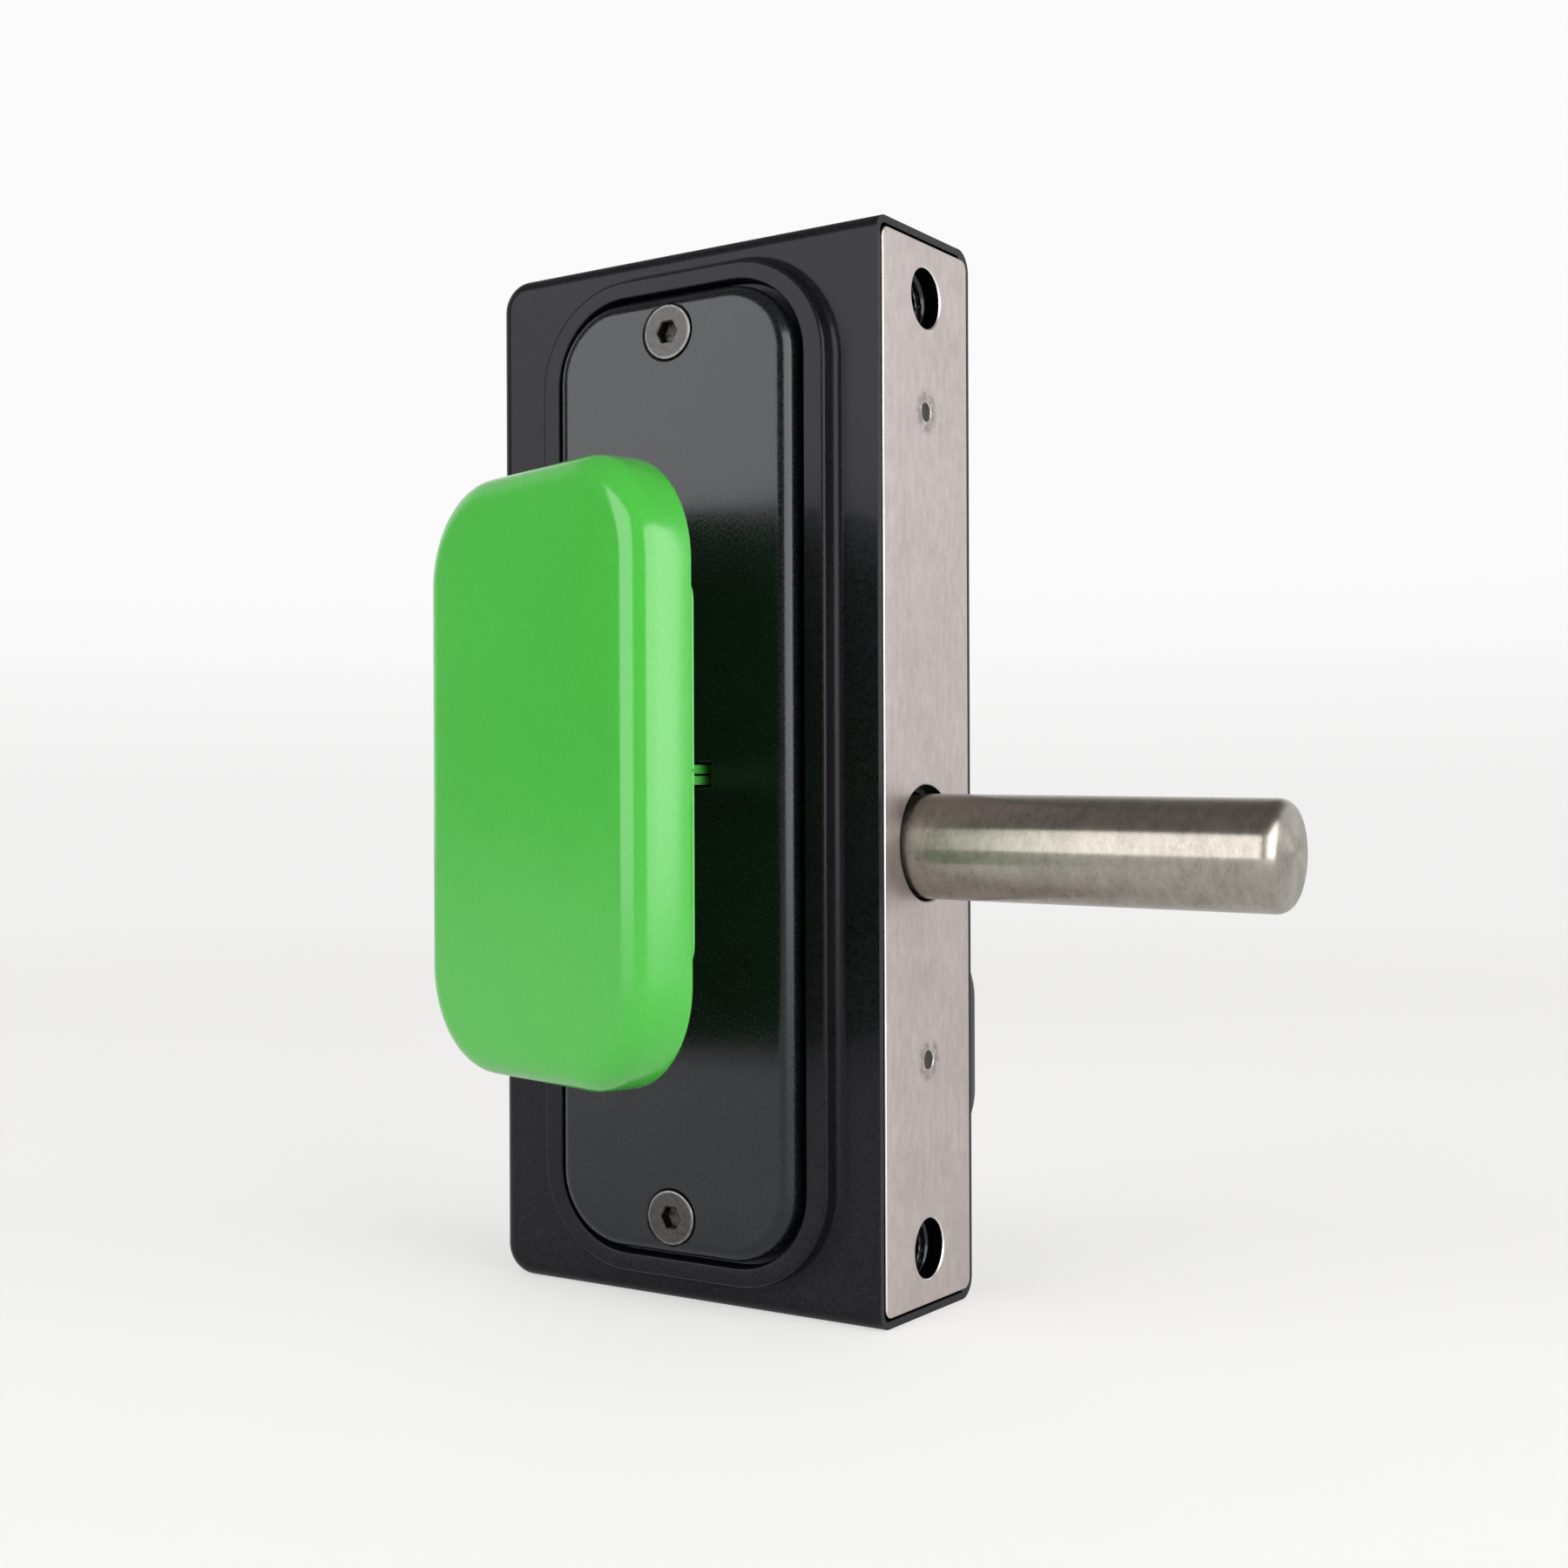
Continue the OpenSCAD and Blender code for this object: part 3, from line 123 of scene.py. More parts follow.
# Quarter circle of radius 1 in a corner, as pairs (1 - cos a, 1 - sin a) from a = 0 to 90 degrees
def quarterRound(count):
    return [(1 - math.cos(a), 1 - math.sin(a)) for a in np.radians(np.linspace(0, 90, count))]


# Closed outline of a rounded rectangle that is moved inwards by inset, anticlockwise from the bottom
# right corner. Straight sides carry the given levels, and a corner is a quarter circle.
def roundedLoop(size, inset, arcSteps, sideLevels, endLevels, centre=(0.0, 0.0)):
    corner = size["corner"] - inset
    hw, hh = (size["width"] - 2 * inset) / 2, (size["height"] - 2 * inset) / 2
    sides, ends = np.asarray(sideLevels, float), np.asarray(endLevels, float)
    parts = [
        arc(hw - corner, corner - hh, corner, -90, 0, arcSteps),
        np.stack([np.full(sides.shape, hw), sides], axis=1),
        arc(hw - corner, hh - corner, corner, 0, 90, arcSteps),
        np.stack([ends[::-1], np.full(ends.shape, hh)], axis=1),
        arc(corner - hw, hh - corner, corner, 90, 180, arcSteps),
        np.stack([np.full(sides.shape, -hw), sides[::-1]], axis=1),
        arc(corner - hw, corner - hh, corner, 180, 270, arcSteps),
        np.stack([ends, np.full(ends.shape, -hh)], axis=1),
    ]
    loop = np.concatenate(parts) + np.array(centre)
    return np.concatenate([loop, loop[:1]])


# Loops laid at their depths make a patch. Face is "front" (drawn in x and z, depth along y) or
# "side" (drawn in y and z, depth along x).
def loopsToPatch(loops, depths, face="front"):
    flat = np.stack(loops)
    depth = np.broadcast_to(np.asarray(depths, float)[:, None], flat.shape[:2])
    if face == "front":
        return np.stack([flat[..., 0], depth, flat[..., 1]], axis=-1)
    return np.stack([depth, flat[..., 0], flat[..., 1]], axis=-1)


# Circle that has one point in the direction of each point of an outer loop
def circleFacing(loop, centre, radius):
    away = loop - np.array(centre)
    return np.array(centre) + radius * away / np.linalg.norm(away, axis=1, keepdims=True)


# Outline of a convex field: its points put in order of their angle round a point inside it
def convexField(ringPoints, linePoints, centre):
    points = np.concatenate([ringPoints, linePoints])
    angle = np.arctan2(points[:, 1] - centre[1], points[:, 0] - centre[0])
    loop = points[np.argsort(angle)]
    return np.concatenate([loop, loop[:1]])


# Body of revolution about a line along x through centre (y, z): a profile row (x, radius) makes a circle
def turnedX(profile, centre, steps=96):
    a = np.linspace(0, 2 * np.pi, steps + 1)
    along, radius = profile[:, 0][:, None], profile[:, 1][:, None]
    y = centre[0] + radius * np.cos(a)[None, :]
    z = centre[1] + radius * np.sin(a)[None, :]
    return np.stack([np.broadcast_to(along, y.shape), y, z], axis=-1)


# Shader nodes

# Gives inputs of a node, by name or number, a value each or a link from another node's output
def feed(tree, node, inputs):
    for label, value in inputs.items():
        if isinstance(value, bpy.types.NodeSocket):
            tree.links.new(value, node.inputs[label])
        else:
            node.inputs[label].default_value = value


def newNode(tree, kind, inputs, **fields):
    node = tree.nodes.new("ShaderNode" + kind)
    for field, value in fields.items():
        setattr(node, field, value)
    feed(tree, node, inputs)
    return node


# The tree's first node of a kind
def nodeOf(tree, kind):
    return next(node for node in tree.nodes if node.type == kind)


def mathNode(tree, operation, *values, clamp=False):
    return newNode(tree, "Math", dict(enumerate(values)), operation=operation, use_clamp=clamp).outputs[0]


def noiseNode(tree, vector, scale, detail, rough):
    inputs = {"Vector": vector, "Scale": scale, "Detail": detail, "Roughness": rough}
    return newNode(tree, "TexNoise", inputs).outputs["Fac"]


def mixColours(tree, share, low, high):
    return newNode(tree, "Mix", {0: share, 6: low, 7: high}, data_type="RGBA").outputs[2]


def objectPlace(tree):
    return tree.nodes.new("ShaderNodeTexCoord").outputs["Object"]


# 0 below low, 1 above high, and a smooth step between them
def smoothStep(tree, value, low, high):
    inputs = {"Value": value, "From Min": low, "From Max": high}
    return newNode(tree, "MapRange", inputs, interpolation_type="SMOOTHSTEP").outputs["Result"]


def newGroup(name, inputs, outputs):
    tree = bpy.data.node_groups.new(name, "ShaderNodeTree")
    for label, value in inputs.items():
        kind = "NodeSocketColor" if isinstance(value, tuple) else "NodeSocketFloat"
        tree.interface.new_socket(label, in_out="INPUT", socket_type=kind).default_value = value
    for label in outputs:
        kind = "NodeSocketColor" if label == "Color" else "NodeSocketFloat"
        tree.interface.new_socket(label, in_out="OUTPUT", socket_type=kind)
    enter = tree.nodes.new("NodeGroupInput")
    leave = tree.nodes.new("NodeGroupOutput")
    return tree, enter, leave


# What a finish group gives: colour and roughness between its limits by a share from 0 to 1, and height
def leaveFinish(tree, enter, leave, colourShare, roughShare, height):
    given = enter.outputs
    spread = mathNode(tree, "SUBTRACT", given["Rough high"], given["Rough low"])
    feed(tree, leave, {"Color": mixColours(tree, colourShare, given["Dark"], given["Light"]),
                       "Roughness": mathNode(tree, "MULTIPLY_ADD", roughShare, spread, given["Rough low"]),
                       "Height": height})


# Powder coat or moulded skin: fine grain over soft waves, and a slow change of tone
def makeGrainGroup():
    tree, enter, leave = newGroup(
        "fineGrain",
        {"Dark": (0.0, 0.0, 0.0, 1.0), "Light": (0.1, 0.1, 0.1, 1.0), "Grain size": 1600.0,
         "Wave size": 90.0, "Speckle": 2.0, "Rough low": 0.3, "Rough high": 0.45},
        ["Color", "Roughness", "Height"])
    place = objectPlace(tree)
    grain = noiseNode(tree, place, enter.outputs["Grain size"], 2.0, 0.5)
    wave = noiseNode(tree, place, enter.outputs["Wave size"], 2.0, 0.5)
    fromMiddle = mathNode(tree, "SUBTRACT", grain, 0.5)
    fleck = mathNode(tree, "MULTIPLY_ADD", fromMiddle, enter.outputs["Speckle"], 0.5, clamp=True)
    tone = mathNode(tree, "MULTIPLY_ADD", wave, 0.4, mathNode(tree, "MULTIPLY", fleck, 0.6), clamp=True)
    leaveFinish(tree, enter, leave, tone, tone, mathNode(tree, "MULTIPLY_ADD", wave, 0.35, grain))
    return tree


# Brushed or drawn metal: noise stretched along the brushing, with longer streaks on top of it
def makeBrushGroup():
    tree, enter, leave = newGroup(
        "brushedLines",
        {"Dark": (0.4, 0.4, 0.4, 1.0), "Light": (0.6, 0.6, 0.6, 1.0), "Across X": 2500.0,
         "Across Y": 2500.0, "Across Z": 2500.0, "Contrast": 2.4, "Rough low": 0.25, "Rough high": 0.4},
        ["Color", "Roughness", "Height"])
    place = objectPlace(tree)
    size = newNode(tree, "CombineXYZ", {axis: enter.outputs["Across " + axis] for axis in "XYZ"})
    stretch = newNode(tree, "VectorMath", {0: place, 1: size.outputs[0]}, operation="MULTIPLY").outputs[0]
    fine = noiseNode(tree, stretch, 1.0, 4.0, 0.7)
    coarse = noiseNode(tree, stretch, 0.21, 2.0, 0.5)
    cloud = noiseNode(tree, place, 70.0, 3.0, 0.6)
    lines = mathNode(tree, "MULTIPLY_ADD", coarse, 0.45, mathNode(tree, "MULTIPLY", fine, 0.55), clamp=True)
    tone = mathNode(tree, "MULTIPLY_ADD", cloud, 0.25, mathNode(tree, "MULTIPLY", lines, 0.75))
    fromMiddle = mathNode(tree, "SUBTRACT", tone, 0.5)
    tone = mathNode(tree, "MULTIPLY_ADD", fromMiddle, enter.outputs["Contrast"], 0.5, clamp=True)
    leaveFinish(tree, enter, leave, tone, lines, lines)
    return tree


fineGrain = makeGrainGroup()
brushedLines = makeBrushGroup()


def startMaterial(name):
    material = bpy.data.materials.new(name)
    material.use_nodes = True
    tree = material.node_tree
    return material, tree, nodeOf(tree, "BSDF_PRINCIPLED")


# A finish group drives the shader's colour, roughness and bump, whose depth is in millimetres
def driveShader(tree, shader, group, inputs, depth, strength):
    given = newNode(tree, "Group", inputs, node_tree=group).outputs
    bump = newNode(tree, "Bump", {"Distance": depth * mm, "Strength": strength, "Height": given["Height"]})
    feed(tree, shader, {"Base Color": given["Color"], "Roughness": given["Roughness"],
                        "Normal": bump.outputs["Normal"]})


def grainMaterial(name, dark, light, rough, grain=1600.0, wave=90.0, depth=0.012, strength=0.5,
                  metallic=0.0, specular=0.5, coat=0.0, coatRough=0.1, tint=(1.0, 1.0, 1.0), speckle=2.0):
    material, tree, shader = startMaterial(name)
    driveShader(tree, shader, fineGrain, {
        "Dark": (*dark, 1.0), "Light": (*light, 1.0), "Rough low": rough[0], "Rough high": rough[1],
        "Grain size": grain, "Wave size": wave, "Speckle": speckle}, depth, strength)
    feed(tree, shader, {"Metallic": metallic, "Specular IOR Level": specular, "Specular Tint": (*tint, 1.0),
                        "Coat Weight": coat, "Coat Roughness": coatRough})
    return material


# A bar ground all round spreads its highlight along its axis: barAxis names the axis, and a quarter
# of a turn leads from the direction round the bar to the one along it
def brushedMaterial(name, dark, light, rough, across, depth=0.004, strength=0.4, contrast=2.4, barAxis=None):
    material, tree, shader = startMaterial(name)
    driveShader(tree, shader, brushedLines, {
        "Dark": (*dark, 1.0), "Light": (*light, 1.0), "Rough low": rough[0], "Rough high": rough[1],
        "Across X": across[0], "Across Y": across[1], "Across Z": across[2], "Contrast": contrast},
        depth, strength)
    feed(tree, shader, {"Metallic": 1.0})
    if barAxis is not None:
        tangent = newNode(tree, "Tangent", {}, direction_type="RADIAL", axis=barAxis).outputs["Tangent"]
        feed(tree, shader, {"Tangent": tangent, "Anisotropic": 0.9, "Anisotropic Rotation": 0.25})
    return material


paints = {
    "casePaint": {"dark": (0.0006, 0.0006, 0.0009), "light": (0.0105, 0.0098, 0.0132), "rough": (0.24, 0.46),
                  "grain": 2300.0, "speckle": 3.2, "specular": 0.145, "tint": (0.93, 0.92, 1.0),
                  "coat": 0.10},
    "coverPaint": {"dark": (0.0003, 0.0004, 0.0006), "light": (0.0070, 0.0076, 0.0092), "rough": (0.12, 0.33),
                   "grain": 2300.0, "speckle": 3.2, "depth": 0.008, "specular": 0.46,
                   "tint": (0.94, 0.95, 1.0)},
    "padGreen": {"dark": (0.042, 0.338, 0.033), "light": (0.058, 0.402, 0.046), "rough": (0.15, 0.21),
                 "grain": 2100.0, "wave": 60.0, "depth": 0.005, "strength": 0.35, "coat": 0.10,
                 "coatRough": 0.08},
    "armGreen": {"dark": (0.05, 0.36, 0.04), "light": (0.07, 0.44, 0.055), "rough": (0.26, 0.34)},
    # painted shade: the bolt guide is coloured near black so that the gap round the bolt looks dark
    "guidePaintedShade": {"dark": (0.012, 0.012, 0.013), "light": (0.020, 0.020, 0.021), "rough": (0.38, 0.5)},
    "guardPlastic": {"dark": (0.010, 0.010, 0.011), "light": (0.018, 0.018, 0.019), "rough": (0.34, 0.44),
                     "grain": 1100.0, "depth": 0.02},
    "threadSteel": {"dark": (0.010, 0.010, 0.011), "light": (0.028, 0.028, 0.031), "rough": (0.12, 0.20),
                    "metallic": 0.6, "specular": 0.7},
    "screwSteel": {"dark": (0.040, 0.038, 0.037), "light": (0.095, 0.090, 0.088), "rough": (0.30, 0.44),
                   "grain": 1400.0, "wave": 500.0, "metallic": 1.0},
    "rivetSteel": {"dark": (0.025, 0.025, 0.027), "light": (0.085, 0.082, 0.080), "rough": (0.40, 0.55),
                   "grain": 2200.0, "wave": 700.0, "metallic": 1.0, "depth": 0.03},
    "zincSteel": {"dark": (0.42, 0.43, 0.44), "light": (0.58, 0.59, 0.60), "rough": (0.30, 0.45),
                  "grain": 900.0, "wave": 200.0, "metallic": 1.0},
    "springSteel": {"dark": (0.34, 0.34, 0.35), "light": (0.50, 0.50, 0.52), "rough": (0.22, 0.34),
                    "metallic": 1.0},
}
brushedMetals = {
    "plateSteel": {"dark": (0.41, 0.365, 0.351), "light": (0.66, 0.585, 0.565), "rough": (0.29, 0.44),
                   "across": (3200.0, 3200.0, 1300.0), "depth": 0.008},
    "boltSteel": {"dark": (0.17, 0.153, 0.134), "light": (0.53, 0.488, 0.432), "rough": (0.25, 0.31),
                  "across": (3000.0, 1500.0, 1500.0), "depth": 0.006, "contrast": 1.7, "barAxis": "X"},
    "cylinderMetal": {"dark": (0.50, 0.46, 0.36), "light": (0.66, 0.62, 0.50), "rough": (0.24, 0.36),
                      "across": (2200.0, 60.0, 2200.0)},
}
finishes = {name: grainMaterial(name, **values) for name, values in paints.items()}
finishes.update({name: brushedMaterial(name, **values) for name, values in brushedMetals.items()})


# Sizes in metres, colours and shares of the plate's marks, of its painted highlights and of its painted shade
markLook = {"stainFade": 0.0012, "stainShare": 0.6, "stain": (0.17, 0.14, 0.12, 1.0), "highlightRingHalf": 0.00035,
            "highlightRingShare": 0.3, "paintedHighlight": (0.86, 0.82, 0.80, 1.0), "highlightEdgeX": -0.00003, "rivetClear": 0.0024,
            "cutX": -0.00028, "cut": (0.020, 0.019, 0.018, 1.0)}


# Marks and painted light on the faceplate: a speckled heat ring round each rivet, a painted highlight ring at
# each rivet's edge, painted highlights on the broken edges, and painted shade on the cut walls. A point's
# place on the plate decides, in metres of Object coordinates.
def makePlateMarksAndPaintedLight():
    m = markLook
    tree, enter, leave = newGroup(
        "plateMarksAndPaintedLight",
        {"Color": (0.6, 0.6, 0.6, 1.0), "Roughness": 0.35, "Upper rivet": 0.0618, "Lower rivet": -0.049,
         "Highlight ring": 0.0017, "Ring": 0.0042},
        ["Color", "Roughness"])
    given = enter.outputs
    place = objectPlace(tree)
    split = newNode(tree, "SeparateXYZ", {0: place}).outputs
    fromRivet = []
    for label in ("Upper rivet", "Lower rivet"):
        up = mathNode(tree, "SUBTRACT", split["Z"], given[label])
        across = mathNode(tree, "MULTIPLY", split["Y"], split["Y"])
        square = mathNode(tree, "ADD", mathNode(tree, "MULTIPLY", up, up), across)
        fromRivet.append(mathNode(tree, "SQRT", square))
    near = mathNode(tree, "MINIMUM", *fromRivet)
    speckle = noiseNode(tree, place, 2600.0, 3.0, 0.7)
    cloud = noiseNode(tree, place, 620.0, 2.0, 0.6)
    fromRing = mathNode(tree, "SUBTRACT", given["Ring"], near)
    inRing = mathNode(tree, "DIVIDE", fromRing, m["stainFade"], clamp=True)
    dots = mathNode(tree, "MULTIPLY_ADD", mathNode(tree, "ADD", speckle, cloud), 5.0, -4.3, clamp=True)
    stain = mathNode(tree, "MULTIPLY", mathNode(tree, "MULTIPLY", inRing, dots), m["stainShare"])
    stained = mixColours(tree, stain, given["Color"], m["stain"])
    # painted highlight: a bright ring at each rivet's edge, where light catches it
    fromHighlightRing = mathNode(tree, "ABSOLUTE", mathNode(tree, "SUBTRACT", near, given["Highlight ring"]))
    rim = mathNode(tree, "SUBTRACT", 1.0, mathNode(tree, "DIVIDE", fromHighlightRing, m["highlightRingHalf"]), clamp=True)
    # painted highlight: the broken edges of the plate and its holes, clear of the rivets, are brightened
    edge = mathNode(tree, "LESS_THAN", split["X"], m["highlightEdgeX"])
    edge = mathNode(tree, "MULTIPLY", edge, mathNode(tree, "GREATER_THAN", near, m["rivetClear"]))
    paintedHighlight = mathNode(tree, "MAXIMUM", mathNode(tree, "MULTIPLY", rim, m["highlightRingShare"]), edge)
    withPaintedHighlight = mixColours(tree, paintedHighlight, stained, m["paintedHighlight"])
    # painted shade: the cut walls and the back, behind the broken edges, turn near black
    cut = mathNode(tree, "LESS_THAN", split["X"], m["cutX"])
    feed(tree, leave, {"Color": mixColours(tree, cut, withPaintedHighlight, m["cut"]),
                       "Roughness": mathNode(tree, "MULTIPLY_ADD", stain, 0.25, given["Roughness"])})
    return tree


# The heat stains, painted highlights and painted shade are laid over the brushed colour
def markPlateAndPaintLight():
    tree = finishes["plateSteel"].node_tree
    brushed = nodeOf(tree, "GROUP").outputs
    inputs = {"Color": brushed["Color"], "Roughness": brushed["Roughness"]}
    marked = newNode(tree, "Group", inputs, node_tree=makePlateMarksAndPaintedLight()).outputs
    shader = nodeOf(tree, "BSDF_PRINCIPLED")
    feed(tree, shader, {"Base Color": marked["Color"], "Roughness": marked["Roughness"]})


# Screws are brighter where the wear attribute says so, broken up by noise. CAD screws have no wear.
def markScrews():
    wornSteel = (0.20, 0.195, 0.19, 1.0)
    tree = finishes["screwSteel"].node_tree
    wear = newNode(tree, "Attribute", {}, attribute_name="wear").outputs["Fac"]
    patchy = noiseNode(tree, objectPlace(tree), 900.0, 2.0, 0.6)
    patchy = mathNode(tree, "MULTIPLY_ADD", patchy, 3.0, -0.55, clamp=True)
    share = mathNode(tree, "MULTIPLY", wear, patchy)
    colour = mixColours(tree, share, nodeOf(tree, "GROUP").outputs["Color"], wornSteel)
    feed(tree, nodeOf(tree, "BSDF_PRINCIPLED"), {"Base Color": colour})


markPlateAndPaintLight()
markScrews()
print("materials made")

nodeFinish = {
    "casePaint": ["case_shell", "rear_cover"],
    "coverPaint": ["inner_cover"],
    "plateSteel": ["faceplate", "faceplate_rivets"],
    "boltSteel": ["bolt"],
    "screwSteel": ["rear_screws", "cover_screws", "guide_screws", "bracket_screws", "pivot_clip",
                   "guard_screws", "cylinder_screw", "lever_clip", "bolt_clip", "carriage_screws",
                   "pad_screws"],
    "threadSteel": ["fixing_sleeves"],
    "zincSteel": ["chassis", "pivot_bracket", "pivot_pin", "spring_rod", "lever_stud", "cylinder_cam",
                  "key_lever", "bolt_carriage", "drive_pin"],
    "springSteel": ["bolt_spring"],
    # the bolt guide carries painted shade, near black instead of its own pale plastic
    "guidePaintedShade": ["bolt_guide"],
    "guardPlastic": ["cylinder_guard"],
    "cylinderMetal": ["cylinder_body", "cylinder_plug", "paddle_hub"],
    "padGreen": ["push_pad"],
    "armGreen": ["arm_plate_upper", "arm_plate_lower", "arm_rivet"],
}
for finish, names in nodeFinish.items():
    for name in names:
        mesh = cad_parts[name].data
        mesh.materials.clear()
        mesh.materials.append(finishes[finish])


def finishPiece(piece, body, finish, slotName, *nodes):
    piece.data.materials.append(finishes[finish])
    piece.data.update()
    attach(piece, body)
    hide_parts(*nodes)
    print(piece.name, len(piece.data.polygons), "faces")


# Push pad

padSize = {"width": 62.5, "height": 99.2, "thick": 11.5, "corner": 17.5, "frontEdge": 5.0,
           "backEdge": 1.2, "crown": 0.35, "turn": 19.0, "place": (-40.0, -54.2, -0.4)}


# The pad is a stack of rounded outlines. Going round the section from the middle of the front, the
# inset from the outline is r(1 - cos a) at the depth r(1 - sin a), and the front is crowned by
# crown * (1 - share squared), where share is how far out from the middle a point lies.
def buildPad():
    s = padSize
    half = s["thick"] / 2
    front, back = s["frontEdge"], s["backEdge"]
    corner = s["corner"]
    levels = np.linspace(-1, 1, 9) * (s["height"] / 2 - corner) * 0.9
    across = np.linspace(-1, 1, 7) * (s["width"] / 2 - corner) * 0.85

    def shrunk(inset):  # an outline moved inwards keeps its corner centres
        return roundedLoop(s, inset, 24, levels, across)

    rim = shrunk(front)
    middle = np.zeros_like(rim)
    loops, depths = [middle], [-half]
    for share in np.linspace(0.0, 1.0, 13)[1:]:  # crowned front, out from the middle
        loops.append(rim * share)
        depths.append(-half + s["crown"] * share ** 2)
    for cosPart, sinPart in quarterRound(13)[::-1][1:]:
        loops.append(shrunk(front * cosPart))
        depths.append(-half + s["crown"] + (front - s["crown"]) * sinPart)
    for cosPart, sinPart in quarterRound(7):
        loops.append(shrunk(back * cosPart))
        depths.append(half - back * sinPart)
    loops += [shrunk(back) * 0.66, shrunk(back) * 0.33, middle]
    depths += [half, half, half]
    patch = loopsToPatch(loops, depths)
    turn = math.radians(-s["turn"])
    x, y = patch[..., 0].copy(), patch[..., 1].copy()
    patch[..., 0] = x * math.cos(turn) - y * math.sin(turn) + s["place"][0]
    patch[..., 1] = x * math.sin(turn) + y * math.cos(turn) + s["place"][1]
    patch[..., 2] += s["place"][2]
    piece = weldPatches("padShell", [patch], 60.0)
    finishPiece(piece, "paddle", "padGreen", "pad_green", "push_pad")


buildPad()


# Pressed case front

caseSize = {"left": -80.0, "midX": -40.0, "right": -0.35, "halfHeight": 92.5, "corner": 5.5,
            "cornerSteps": 12, "frontY": -16.75, "seamY": 12.75, "edge": 2.9, "wall": 1.3, "wallRound": 0.18,
            "rim": {"width": 58.8, "height": 175.2, "corner": 18.0}, "rimX": -37.6, "rimY": -20.75,
            "rimEdge": 0.7, "foot": 1.6, "pocket": {"width": 50.7, "height": 168.6, "corner": 13.95},
            "pocketEdge": 0.35, "ledgeY": -17.75, "ledgeEdge": 0.4,
            "port": {"width": 43.0, "height": 142.0, "corner": 10.1}}


# U-shaped path of the closed sides: along the top to the left, round two quarter circles and back
# along the bottom, moved inwards by inset
def caseWrap(inset):
    s = caseSize
    corner, steps, middle = s["corner"], s["cornerSteps"], s["midX"]
    top = s["halfHeight"] - inset
    left = s["left"] + inset
    r = corner - inset
    cx, cz = s["left"] + corner, s["halfHeight"] - corner
    return np.concatenate([
        [[s["right"], top]], [[middle, top]], arc(cx, cz, r, 90, 180, steps), [[left, 0.0]],
        arc(cx, -cz, r, 180, 270, steps), [[middle, -top]], [[s["right"], -top]]])


# The front is one skin: side wall, bent edge, flat, hollow fillet, raised rim, pocket, ledge and
# port. Loops of equal point counts are laid at their depths, and Solidify gives the wall.
def buildCaseFront():
    s = caseSize
    insets, depths = [0.0], [s["seamY"]]
    for cosPart, sinPart in quarterRound(13):
        insets.append(s["edge"] * cosPart)
        depths.append(s["frontY"] + s["edge"] * sinPart)
    wrap = loopsToPatch([caseWrap(i) for i in insets], depths)

    loops, levels = [], []

    def addLoop(size, inset, level):
        loops.append(roundedLoop(size, inset, s["cornerSteps"], [0.0], [0.0], (s["rimX"], 0.0)))
        levels.append(level)

    for cosPart, sinPart in quarterRound(9):  # hollow fillet at the foot
        addLoop(s["rim"], -s["foot"] * sinPart, s["frontY"] - s["foot"] * cosPart)
    for cosPart, sinPart in quarterRound(8):  # outer edge of the rim
        addLoop(s["rim"], s["rimEdge"] * cosPart, s["rimY"] + s["rimEdge"] * sinPart)
    for cosPart, sinPart in quarterRound(6)[::-1]:  # inner edge of the rim
        addLoop(s["pocket"], -s["pocketEdge"] * cosPart, s["rimY"] + s["pocketEdge"] * sinPart)
    for cosPart, sinPart in quarterRound(5):  # soft corner down to the ledge
        addLoop(s["pocket"], s["ledgeEdge"] * cosPart, s["ledgeY"] - s["ledgeEdge"] * sinPart)
    addLoop(s["port"], 0.0, s["ledgeY"])
    rim = loopsToPatch(loops, levels)

    # flat between the bent edge and the rim's foot: the open right edge is part of this outline
    right, edge = s["right"], s["halfHeight"] - s["edge"]
    leftPart = caseWrap(s["edge"])
    bottomRight = np.array([[right, -edge]])
    topRight = np.array([[right, edge]])
    count = s["cornerSteps"] + 1
    outline = np.concatenate([
        np.repeat(bottomRight, count, axis=0), [[right, 0.0]], np.repeat(topRight, count, axis=0),
        leftPart[1:4 + 2 * count], bottomRight])
    flat = loopsToPatch([outline, loops[0]], [s["frontY"], s["frontY"]])
    piece = weldPatches("caseFront", [wrap, flat, rim], 40.0, outwardFrom=(s["midX"], 0.0, 0.0))
    sheetWall(piece, s["wall"], s["wallRound"], True)
    finishPiece(piece, "case", "casePaint", "case_paint", "case_shell")


buildCaseFront()


# Inner cover

coverSize = {"x": -37.6, "width": 48.2, "height": 166.1, "corner": 12.7, "faceY": -23.45, "footY": -17.75,
             "edge": 2.8, "wall": 2.0, "wallRound": 0.12, "slot": (-57.0, -29.0, -2.3, 2.1),
             "slotEdge": 0.15, "screwZ": 76.5, "sink": 4.95, "sinkDepth": 2.25, "sinkWall": 1.2,
             "mouth": 0.25, "mouthDrop": 0.15, "shank": 2.7, "split": 42.0}


# Depth of the cover's outer face at points in plan: flat inside, and a quarter circle
# faceY + r - sqrt(r^2 - (r - inset)^2) where the distance to the outline is less than the edge's r
def coverDepth(points):
    s = coverSize
    qx = np.abs(points[:, 0] - s["x"]) - (s["width"] / 2 - s["corner"])
    qz = np.abs(points[:, 1]) - (s["height"] / 2 - s["corner"])
    beyond = np.hypot(np.maximum(qx, 0), np.maximum(qz, 0)) + np.minimum(np.maximum(qx, qz), 0)
    bend = s["edge"] - np.clip(s["corner"] - beyond, 0, s["edge"])
    return s["faceY"] + s["edge"] - np.sqrt(s["edge"] ** 2 - bend ** 2)


# Points inside a circle are moved straight out to it
def clearOf(points, hole, radius):
    away = points - np.array(hole)
    distance = np.linalg.norm(away, axis=1, keepdims=True)
    return np.where(distance < radius, np.array(hole) + away * radius / np.maximum(distance, 1e-6), points)


